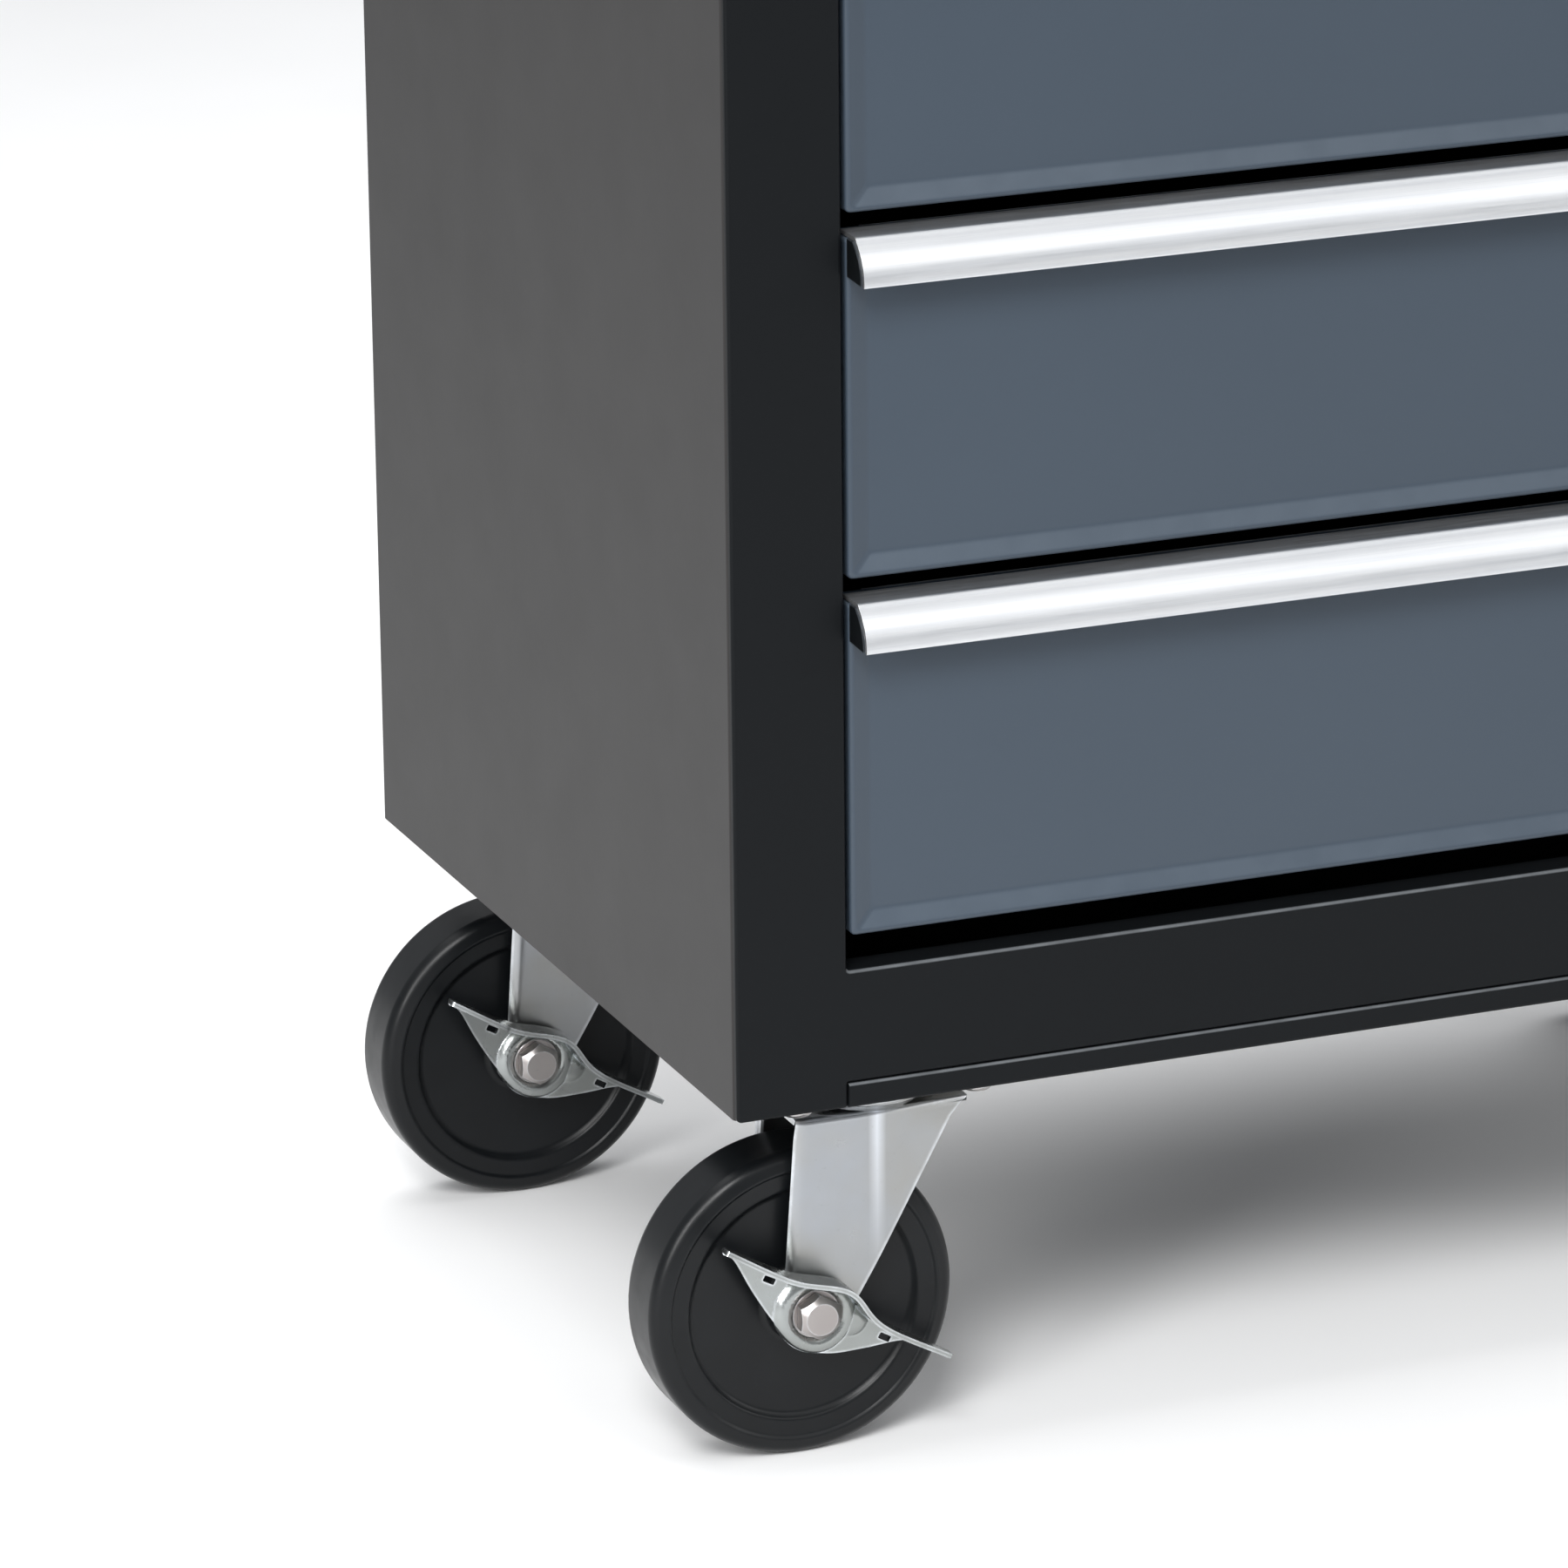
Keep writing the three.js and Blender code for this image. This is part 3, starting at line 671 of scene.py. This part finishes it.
def back_panel():
    """Flat sheet between the side panels' rear folds, held by two rows of screws."""
    box = Box("back_panel")
    plate = extrude(rounded(rectangle(*box.span("x"), *box.span("z")), 2), "Y", *box.span("y"))
    piece("back_panel", [plate], "cabinet", SIDE_PAINT, ["back_panel"])
    heads = []
    for x in (box.low.x + 32, box.high.x - 32):
        for row in range(5):
            z = box.low.z + 30 + row * (box.high.z - box.low.z - 60) / 4
            heads.append(pan_head((x, box.high.y, z), 4, 1.3, "Y", 1))
    piece("back_screws", heads, "cabinet", DARK_ZINC)


def top_panel():
    """Plain sheet with its edges folded down."""
    plan = rounded(rectangle(*TOP.span("x"), *TOP.span("y")), 3, 6)
    depth = TOP.low.z - TOP.high.z
    panel = sheet([(plan, fold(TOP.high.z, 2.5, depth, SHEET, 8))], "Z")
    piece("top_panel", [panel], "cabinet", SIDE_PAINT, ["top_panel"])


def base_pan():
    """Shallow tray over the casters, with the lip that closes the frame's lower edge."""
    low, high = PAN.span("z")
    wall = 1.5
    front = 1.8
    plan = rounded(rectangle(*PAN.span("x"), front, PAN.high.y), 2.5)
    tray = sheet([(plan, fold(low, 2, high - low, wall))], "Z")
    section = rounded(rectangle(PAN.low.y, front + wall, low, high), [1.6, 0.3, 0.3, 1.5])
    lip = extrude(section, "X", OPENING[0] + GAP, OPENING[1] - GAP, 0.3)
    piece("base_pan", [tray, lip], "cabinet", FRAME_PAINT, ["base_pan"])


# ---- drawer slides ------------------------------------------------------------------------------------
def channel(box, opens):
    """Rolled C channel along Y that fills the box. opens is 1 when its legs point to +X."""
    low, high = box.span("z")
    web, ends = box.span("x") if opens > 0 else box.span("x")[::-1]
    path = outline((ends, high), (web, high), (web, low), (ends, low))[::opens]
    section = strip(rounded(path, 2.2, 5, closed=False), SHEET)
    return extrude(section, "Y", *box.span("y"), 0.15)


def slide_racks():
    """Two angle posts on each side with the fixed members of the slides, one to a drawer. Each member wraps
    round the moving one."""
    post_fronts = (18, 364)
    post_inner, post_outer, post_width, thickness = 46.6, 1.5, 24, 1.5
    clear_x, clear_z = 2.2, 3
    for side in SIDES:
        node = f"{side}_slide_rack"
        box = Box(node)
        shapes = []
        for front in post_fronts:
            back = front + post_width
            path = outline((post_inner, front), (post_inner, back), (post_outer, back))
            post = extrude(strip(rounded(path, 2.5, closed=False), thickness), "Z", *box.span("z"))
            shapes.append(post if side == "left" else mirrored(post, "x", MIDDLE_X))
        for number in DRAWER_NUMBERS:
            member = Box(f"drawer_{number}_{side}_slide")
            member.low.z -= clear_z
            member.high.z += clear_z
            if side == "left":
                member.low.x -= clear_x
                member.high.x = box.high.x
            else:
                member.low.x = box.low.x
                member.high.x += clear_x
            shapes.append(channel(member, 1 if side == "left" else -1))
        piece(node, shapes, "cabinet", SLIDE_STEEL, [node])


def drawer_slides(number):
    """The middle members, which run out half as far as the drawer, and the runners on its sides."""
    for side in SIDES:
        towards_drawer = 1 if side == "left" else -1
        kinds = (
            ("slide", f"drawer_{number}_slides", towards_drawer),
            ("runner", f"drawer_{number}", -towards_drawer),
        )
        for kind, body, opens in kinds:
            node = f"drawer_{number}_{side}_{kind}"
            piece(node, [channel(Box(node), opens)], body, SLIDE_STEEL, [node])


# ---- drawers ------------------------------------------------------------------------------------------
MARGIN, DISH = 10.2, 2.8  # a drawer's face is flat inside its margins and lies this far behind its edges


def drawer_front(number):
    """Pressed pan: a flat face, margins that come forward from it to a rounded edge, then folded walls."""
    node = f"drawer_{number}_front"
    box = FRONT_BOXES[number]
    x0, x1 = box.span("x")
    z0, z1 = box.span("z")
    front, back = box.span("y")

    def ring(inset, y):
        corners = rectangle(x0 + inset, x1 - inset, z0 + inset, z1 - inset)
        return [Vector((point.x, y, point.y)) for point in rounded(corners, 2.2, 6)]

    eased = 0.25  # the first part of the margin is curved, and the rest is straight
    steps = 12
    radius = 1.6  # of the outer edge
    start, end = Vector((MARGIN, front + DISH)), Vector((1.3 * radius, front + 0.05 * radius))
    margin = []
    for k in range(steps + 1):
        u = k / steps
        rise = (u * u / (2 * eased) if u < eased else u - eased / 2) / (1 - eased / 2)
        margin.append((start.x + (end.x - start.x) * u, start.y + (end.y - start.y) * rise))
    turns = [math.radians(d) for d in (0, 22.5, 45, 67.5, 90)]
    edge = [(radius * (1 - math.sin(a)), front + radius * (1 - math.cos(a))) for a in turns]
    wall = [(0, back - 0.3), (0.3, back), (SHEET - 0.3, back), (SHEET, back - 0.3)]
    inside = [(inset, y + SHEET) for inset, y in margin[::-3]]
    shape = skin([ring(*step) for step in (*margin, *edge, *wall, *inside)])
    piece(node, [shape], f"drawer_{number}", DRAWER_PAINT, [node])


def drawer_handle(number):
    """Full-width aluminium pull: a hollow grip that bulges forward from the drawer's top edge and hangs down.
    The section is drawn from the drawer's upper front edge. Black caps close the hollow at both ends and make
    them dark."""
    node = f"drawer_{number}_handle"
    box = Box(node)
    wall = 1.6
    web = outline((box.high.y, 0), (box.high.y, -wall))
    bulge = [*bezier((-5.6, 0), (-6.8, 0), (-7.2, -0.4), (-8, -1.5), 5),
             *bezier((-8, -1.5), (-12.4, -5.2), (-15.8, -10), (-15.6, -17.2), 14)[1:]]
    nose = offset(bulge, wall, closed=False)[::-1]
    lip_middle = (bulge[-1] + nose[0]) / 2
    lip = [lip_middle + Matrix.Rotation(math.pi * k / 6, 2) @ (bulge[-1] - lip_middle) for k in range(1, 6)]
    leg = outline((-1.9, -1.9), (-1.9, -16.4), (-1.7, -16.6), (-0.5, -16.6), (-0.3, -16.4), (-0.3, -1.6))
    hollow = [point for point in nose if point.x < -2.6 and point.y < -1.7]
    grip = [web[0], *bulge, *lip, *hollow, *leg, web[1]]
    cap = [*hollow, *outline((-0.4, -1.7), (-0.4, -16.4))]
    top = Vector((0, box.high.z))
    x0, x1 = box.span("x")
    cap_width, gap = 0.8, 0.02
    shape = extrude([top + point for point in grip], "X", x0 + cap_width, x1 - cap_width, 0.15)
    piece(node, [shape], f"drawer_{number}", ALUMINIUM, [node], sharp=28)
    spans = ((x0, x0 + cap_width - gap), (x1 - cap_width + gap, x1))
    caps = [extrude([top + point for point in cap], "X", *span, 0.1) for span in spans]
    piece(f"{node}_end_caps", caps, f"drawer_{number}", RUBBER)


def drawer_tray(number):
    """Folded steel tray whose front wall rises behind the drawer front."""
    node = f"drawer_{number}_tray"
    box = Box(node)
    wall_height = 106  # of the sides and back
    side_top = box.low.z + wall_height
    plan = rounded(rectangle(*box.span("x"), *box.span("y")), 2.5)
    vertices, faces = sheet([(plan, fold(box.low.z, 2, side_top - box.low.z, SHEET))], "Z")
    lifted = []
    for x, y, z in vertices:
        in_front_wall = y < box.low.y + SHEET + 0.1 and z > side_top - 1
        lifted.append((x, y, z + box.high.z - side_top if in_front_wall else z))
    piece(node, [(lifted, faces)], f"drawer_{number}", FRAME_PAINT, [node])


# ---- lock ---------------------------------------------------------------------------------------------
def lock():
    """Flanged barrel, plug with a keyway, cam with a peg, and the hooked bar that the peg lifts."""
    barrel, plug, cam, bar = (Box(node) for node in ("lock_barrel", "lock_plug", "lock_cam", "lock_bar"))
    centre = (plug.middle.x, 0, plug.middle.z)
    front, back = barrel.span("y")
    flange, body, bore = 12.5, 9.5, 6.6
    profile = [(bore, front + 0.3), (bore + 0.3, front), (flange - 1.6, front), (flange - 0.5, front + 0.5),
               (flange, front + 1.3), (flange, front + 1.7), (body, front + 1.7), (body, back), (bore, back)]
    piece("lock_barrel", [lathe(profile, centre)], "cabinet", CHROME, ["lock_barrel"])

    radius = plug.high.x - plug.middle.x
    front, back = plug.span("y")
    profile = [(0, front), (radius - 0.5, front), (radius, front + 0.5), (radius, back), (0, back)]
    keyway = rectangle(centre[0] - 0.9, centre[0] + 0.9, centre[2] - 4.2, centre[2] + 4.2)
    shank = pierced(lathe(profile, centre), [extrude(rounded(keyway, 0.6), "Y", front - 1, front + 9, 0.01)])
    piece("lock_plug", [shank], "lock_turning_parts", CHROME, ["lock_plug"])

    lever_back = 25.5
    lever = extrude(rounded(rectangle(*cam.span("x"), *cam.span("z")), 4), "Y", cam.low.y, lever_back)
    peg_at = (centre[0], 0, centre[2] - 10)
    profile = [(0, lever_back), (2, lever_back), (2, cam.high.y - 0.4), (1.6, cam.high.y), (0, cam.high.y)]
    peg = lathe(profile, peg_at, segments=32)
    piece("lock_cam", [lever, peg], "lock_turning_parts", ZINC, ["lock_cam"])

    x0, top = centre[0] - 18, bar.high.z
    hooks = [Box(f"drawer_{number}_tray").low.z + 100 for number in DRAWER_NUMBERS]
    left_edge = []
    for z in hooks:
        left_edge += [(x0, z), (bar.low.x, z), (bar.low.x, z - 8), (x0, z - 8)]
    edge = outline((x0, bar.low.z), (x0 + 10, bar.low.z), (x0 + 10, top - 22), (bar.high.x, top - 22),
                   (bar.high.x, top), (x0, top), *left_edge)
    slot = rounded(rectangle(peg_at[0] - 12.6, peg_at[0] + 2.6, peg_at[2] - 4.4, peg_at[2] + 4.4), 2)
    plate = extrude(edge, "Y", *bar.span("y"), 0.15, [slot])
    piece("lock_bar", [plate], "lock_lift_bar", ZINC, ["lock_bar"])


# ---- casters: each is laid out round its axle, then moved to the middle of its wheel ------------------
def wheel(node, body):
    """Moulded wheel with a washer on each side: hub boss, recessed disc, raised bead and rounded tread. Half
    of the profile is laid out as (radius, along the axle), and the other half mirrors it."""
    box = Box(node)
    radius = box.high.z - box.middle.z
    hub_half, washer = 18, 0.9
    hub = [(5.4, hub_half), (14.2, hub_half), (15, 17.2), (15.5, 14.2), (16.6, 13), (18.5, 12.5)]
    disc_edge = [(45.5, 12.5), (47, 12.9), (48.2, 14.2), (48.9, 14.9), (50, 15.1)]
    bead = [(55.2, 15.1), (55.9, 15.5), (56.5, 16.1), (57.1, 16.3), (57.7, 16.1)]
    turns = [math.radians(d) for d in range(10, 91, 10)]
    shoulder = [(radius - 5.7 + 5.7 * math.sin(a), 10 + 5.6 * math.cos(a)) for a in turns]
    near = [*hub, *disc_edge, *bead, *shoulder]
    profile = [*((r, -y) for r, y in near), *reversed(near)]
    shape = lathe(profile, (0, 0, 0), segments=128)
    washers = []
    for hand in (-1, 1):
        inner, outer = hand * hub_half, hand * (hub_half + washer)
        washers.append(lathe([(5.3, inner), (9, inner), (9, outer), (5.3, outer)], (0, 0, 0)))
    piece(node, [moved(shape, box.middle)], body, RUBBER, [node], sharp=50)
    piece(f"{node}_washers", [moved(ring, box.middle) for ring in washers], body, DARK_ZINC)


EYE = Vector((2.4, -2.0))  # middle of the round end of a leg, from the axle
EYE_RADIUS = 13.3


def leg_edges(left, right, top):
    """Left and right edge of a leg by height: straight lines from the crown, tangent to the round end."""
    ends = []
    for x, turn in ((left, 1), (right, -1)):
        reach = Vector((x, top)) - EYE
        angle = math.atan2(reach.y, reach.x) + turn * math.acos(EYE_RADIUS / reach.length)
        ends.append((Vector((x, top)), EYE + EYE_RADIUS * Vector((math.cos(angle), math.sin(angle)))))

    def edges(z):
        found = []
        for (start, touch), hand in zip(ends, (-1, 1)):
            if z >= touch.y:
                found.append(start.x + (touch.x - start.x) * (start.y - z) / (start.y - touch.y))
            else:
                found.append(EYE.x + hand * math.sqrt(max(0.0, EYE_RADIUS**2 - (z - EYE.y) ** 2)))
        return found

    return edges


def fork(left, right, top, outer, thickness, bend, crease):
    """One sheet bent over the wheel: leg, crown, leg. A leg's outside is outer from the wheel's middle, and
    bend is the radius where it meets the crown. crease(x, from_edge) is how far a leg leans inwards at x,
    which is from_edge away from its left edge."""
    edges = leg_edges(left, right, top)
    arc = [math.radians(d) for d in (0, 15, 30, 45, 60, 75, 90)]
    bottom = [EYE.y - EYE_RADIUS * math.sin(math.radians(d)) for d in (88, 78, 66, 52, 38, 22, 6)]
    straight = [EYE.y + 4 + k * (top - bend - EYE.y - 4) / 12 for k in range(13)]
    rows = [(outer, z) for z in (*bottom, *straight)]
    rows += [(outer - bend * (1 - math.cos(a)), top - bend * (1 - math.sin(a))) for a in arc[1:]]
    crown = [(outer - bend) * (1 - k / 4) for k in range(1, 4)]
    rows += [(y, top) for y in crown]
    rows = [*rows, (0, top), *((-y, z) for y, z in reversed(rows))]
    columns = 24
    grid = []
    for y, z in rows:
        x0, x1 = edges(z)
        row = []
        for k in range(columns + 1):
            share = 0.5 - 0.5 * math.cos(math.pi * k / columns)
            x = x0 + (x1 - x0) * (0.5 * share + 0.5 * k / columns)  # closer together near the edges
            lean = crease(x, x - x0) * min(1.0, (top - z) / 5)
            row.append(Vector((x, y - math.copysign(lean, y) if y else 0, z)))
        grid.append(row)
    return thicken(grid, thickness)


def soft_ramp(distance, slope, radius):
    """0 before a crease and a straight slope after it, rounded over radius."""
    return slope * (math.hypot(distance, radius) + distance) / 2


def axle_bolt(node, body, wheel_middle):
    """Hexagon bolt through the fork, with a washer under its head."""
    box = Box(node)
    shaft, flats = 5.0, 16.0
    head_face = box.low.y + 7 - wheel_middle.y
    end = box.high.y - wheel_middle.y
    head = hexagon_head((0, 0, 0), flats, head_face, head_face - 7)
    washer = lathe([(shaft, head_face), (9.6, head_face), (10, head_face + 0.3), (10, head_face + 1.2),
                    (shaft, head_face + 1.2)], (0, 0, 0))
    thread = [(0, head_face), (shaft, head_face)]
    pitch = 1.25
    start = 22.0
    turns = int((end - 1 - start) / pitch)
    for k in range(turns):
        thread += [(shaft, start + pitch * k), (shaft - 0.6, start + pitch * (k + 0.5))]
    thread += [(shaft, start + pitch * turns), (shaft - 0.9, end), (0, end)]
    shapes = [moved(shape, wheel_middle) for shape in (head, washer, lathe(thread, (0, 0, 0), segments=36))]
    piece(node, shapes, body, DARK_ZINC, [node], sharp=20)


def axle_nut(node, body, wheel_middle):
    """Hexagon nut, bored for the bolt."""
    box = Box(node)
    low, high = (y - wheel_middle.y for y in box.span("y"))
    nut = hexagon_head((0, 0, 0), 16.0, low, high)
    hole = lathe([(0, low - 1), (5.2, low - 1), (5.2, high + 1), (0, high + 1)], (0, 0, 0), segments=36)
    made = pierced(nut, [hole])
    piece(node, [moved(made, wheel_middle)], body, DARK_ZINC, [node])


def mounting_plate(low, high, middle):
    """Rounded plate with a slot in each corner."""
    half_x, half_y, inset = 47, 33, 9
    slots = []
    for i in (-1, 1):
        for j in (-1, 1):
            at = Vector((i * (half_x - inset), j * (half_y - inset)))
            slots.append(rounded(rectangle(at.x - 6, at.x + 6, at.y - 4.5, at.y + 4.5), 4.4, 8))
    plate = extrude(rounded(rectangle(-half_x, half_x, -half_y, half_y), 6, 8), "Z", low, high, 0.5, slots)
    return moved(plate, (middle.x, middle.y, 0))


def plate_bolts(end, side, under, middle):
    """Four bolts that hold a caster to the pan."""
    shapes = []
    for i in (-1, 1):
        for j in (-1, 1):
            at = (middle.x + i * 38, middle.y + j * 24, 0)
            washer = lathe([(0, under), (8, under), (8, under - 1.2), (0, under - 1.2)], at, "Z", 48)
            shapes += [hexagon_head(at, 13.0, under - 1.2, under - 5.4, "Z"), washer]
    piece(f"{end}_{side}_plate_bolts", shapes, "cabinet", DARK_ZINC)


def brake_pedal(node, body, wheel_middle):
    """Rocker plate round the axle bolt, with a wavy foot flange along its top and a pressed ring and boss."""
    top = spline(outline((-38, 33.6), (-12.5, 19.9), (10.7, 12), (24.8, -4.6), (56.7, -24.7)), 26)
    low = spline(outline((-38, 32.2), (-33, 26), (-26.5, 13.5), (-17.5, -1), (-7.5, -13.2),
                         (5.5, -18), (21, -18.2), (36, -17.4), (47, -19.4), (56.7, -26.2)), 8)
    back_y, thickness = -24.2, 2.0
    bend, reach = 3.0, 13.0

    def lower_edge(x):
        for a, b in zip(low, low[1:]):
            if b.x >= x:
                return a.y + (b.y - a.y) * max(0.0, x - a.x) / (b.x - a.x)
        return low[-1].y

    def pressed(x, z):
        out = math.hypot(x, z)
        ring = 2.9 * smooth_step((out - 10.2) / 1.8) * smooth_step((17 - out) / 3.2)
        boss = 2.2 * smooth_step((7.0 - math.hypot(x - 15.8, z + 5.4)) / 4.5)
        return max(ring, boss)

    rows = 40
    columns = []
    for k, edge in enumerate(top):
        share = k / (len(top) - 1)
        flange = reach * min(1.0, 0.3 + 3.2 * share, 0.3 + 3.2 * (1 - share)) ** 0.7
        foot = min(lower_edge(edge.x), edge.y - bend - 0.4)
        column = []
        for r in range(rows + 1):
            z = foot + (edge.y - bend - foot) * r / rows
            eased = smooth_step((edge.y - bend - z) / 3) * smooth_step((z - foot) / 3)
            column.append(Vector((edge.x, back_y - eased * pressed(edge.x, z), z)))
        for a in (math.radians(d) for d in (22.5, 45, 67.5, 90)):
            forward, down = bend * (1 - math.cos(a)), bend * (1 - math.sin(a))
            column.append(Vector((edge.x, back_y - forward, edge.y - down)))
        for r in range(1, 6):
            column.append(Vector((edge.x, back_y - bend - (flange + thickness - bend) * r / 5, edge.y)))
        columns.append(column)
    grid = [[column[r] for column in columns] for r in range(len(columns[0]))]
    plate = thicken(grid, thickness)
    slots = []
    for x, z, tilt in ((-19, 16.7, -28), (29.6, -15, -30)):
        turn = Matrix.Rotation(math.radians(tilt), 2)
        slot = [turn @ point + Vector((x, z)) for point in rounded(rectangle(-2.6, 2.6, -1.3, 1.3), 0.5)]
        slots.append(extrude(slot, "Y", -30, -20, 0.01))
    made = pierced(plate, slots)
    piece(node, [moved(made, wheel_middle)], body, PEDAL_ZINC, [node], sharp=75)


def swivel_caster(end):
    """Plate with its ball race and kingpin, fork that swivels under it, wheel, bolt, nut and brake pedal."""
    plate_box, wheel_box = Box(f"{end}_swivel_plate"), Box(f"{end}_swivel_wheel")
    hub, axis = wheel_box.middle, plate_box.middle
    fork_box = Box(f"{end}_swivel_fork")
    left, right = (x - hub.x for x in fork_box.span("x"))
    crown = 79.0  # above the axle
    crease_at = FORK_BEND - hub.x

    def crease(x, from_edge):
        curl = 2.2 * max(0.0, 1 - from_edge / 4.5) ** 2
        return curl + soft_ramp(x - crease_at, 0.16, 4.0)

    body = f"{end}_yoke"
    yoke = fork(-5.0, right, crown, 21.7, 2.5, 2.5, crease)
    dish = [(6.4, crown - 0.5), (6.4, crown + 1.6), (19, crown + 1.6), (21, crown + 1.2), (22, crown - 0.5)]
    crown_ring = lathe(dish, (axis.x - hub.x, 0, 0), "Z")
    piece(f"{end}_swivel_fork", [moved(yoke, hub), moved(crown_ring, hub)], body, FORK_ZINC,
          [f"{end}_swivel_fork"])

    low, high = plate_box.high.z - 3, plate_box.high.z
    plate = mounting_plate(low, high, axis)
    race_low = plate_box.low.z + 11.1
    race = [(0, low + 0.2), (24, low + 0.2), (26.4, low - 1), (27, low - 2.6), (27, race_low + 3.6),
            (26.2, race_low + 3), (24.6, race_low + 3), (24.6, race_low + 2.2), (26.6, race_low + 2),
            (26, race_low + 0.7), (24, race_low), (0, race_low)]
    pin_low = plate_box.low.z
    pin = [(0, race_low + 0.5), (6, race_low + 0.5), (6, pin_low + 3), (10, pin_low + 3), (10, pin_low + 1.6),
           (8.4, pin_low + 0.4), (6, pin_low), (0, pin_low)]
    turned = [lathe(profile, (axis.x, axis.y, 0), "Z") for profile in (race, pin)]
    piece(f"{end}_swivel_plate", [plate, *turned], "cabinet", ZINC, [f"{end}_swivel_plate"])
    plate_bolts(end, "swivel", low, axis)
    wheel(f"{end}_swivel_wheel", f"{end}_left_wheel")
    axle_bolt(f"{end}_swivel_axle_bolt", body, hub)
    axle_nut(f"{end}_swivel_axle_nut", body, hub)
    brake_pedal(f"{end}_swivel_brake_pedal", f"{end}_pedal", hub)


def rigid_caster(end):
    """Fork welded to its plate, wheel, bolt and nut."""
    fork_box = Box(f"{end}_rigid_fork")
    hub = Box(f"{end}_rigid_wheel").middle
    low, high = fork_box.high.z - 3, fork_box.high.z
    yoke = fork(-34.0, 34.0, low - hub.z, 21.7, 2.5, 5.0, lambda x, z: 0.0)
    shapes = [moved(yoke, hub), mounting_plate(low, high, hub)]
    piece(f"{end}_rigid_fork", shapes, "cabinet", ZINC, [f"{end}_rigid_fork"])
    plate_bolts(end, "rigid", low, hub)
    wheel(f"{end}_rigid_wheel", f"{end}_right_wheel")
    axle_bolt(f"{end}_rigid_axle_bolt", "cabinet", hub)
    axle_nut(f"{end}_rigid_axle_nut", "cabinet", hub)


# ---- studio -------------------------------------------------------------------------------------------
def studio_floor():
    """Plain pale floor, which isn't part of the object."""
    size = 6.0
    mesh = bpy.data.meshes.new("floor")
    corners = [(-size, -size, 0), (size, -size, 0), (size, size, 0), (-size, size, 0)]
    mesh.from_pydata(corners, [], [(0, 1, 2, 3)])
    floor = bpy.data.objects.new("floor", mesh)
    floor.data.materials.append(FLOOR_PAINT)
    bpy.context.scene.collection.objects.link(floor)


def softbox(name, place, target, size, power, spread):
    """Rectangular light aimed at a target, with its size in metres and its spread in degrees."""
    data = bpy.data.lights.new(name, "AREA")
    data.shape = "RECTANGLE"
    data.size, data.size_y = size
    data.energy = power
    data.spread = math.radians(spread)
    lamp = bpy.data.objects.new(name, data)
    lamp.location = place
    lamp.rotation_euler = (Vector(target) - Vector(place)).to_track_quat("-Z", "Y").to_euler()
    bpy.context.scene.collection.objects.link(lamp)


def lights():
    """Even sky, a broad light overhead and four smaller ones round the front."""
    world = bpy.data.worlds.new("studio")
    world.use_nodes = True
    background = world.node_tree.nodes["Background"]
    background.inputs["Color"].default_value = (0.95, 0.97, 1.0, 1)
    background.inputs["Strength"].default_value = 0.45
    bpy.context.scene.world = world
    softbox("overhead", (0.1, 1.0, 3.0), (0.1, 1.0, 0), (4.2, 3.4), 44, 120)
    softbox("key", (-1.6, -2.3, 2.5), (-0.1, -0.1, 0.3), (1.2, 1.2), 12, 70)
    softbox("front_panel", (0.9, -2.0, 2.1), (0, -0.2, 0.45), (2.6, 1.7), 9, 140)
    softbox("left_strip", (-1.9, -1.3, 0.9), (-0.3, -0.15, 0.1), (0.5, 1.0), 4.2, 80)
    softbox("fill", (2.4, -1.8, 1.2), (0, 0, 0.3), (1.2, 1.2), 3, 90)


front_frame()
side_panels()
back_panel()
top_panel()
base_pan()
slide_racks()
for drawer in DRAWER_NUMBERS:
    drawer_front(drawer)
    drawer_handle(drawer)
    drawer_tray(drawer)
    drawer_slides(drawer)
lock()
for row in ENDS:
    swivel_caster(row)
    rigid_caster(row)
studio_floor()
lights()
add_camera()
bpy.context.scene.view_settings.view_transform = "Standard"
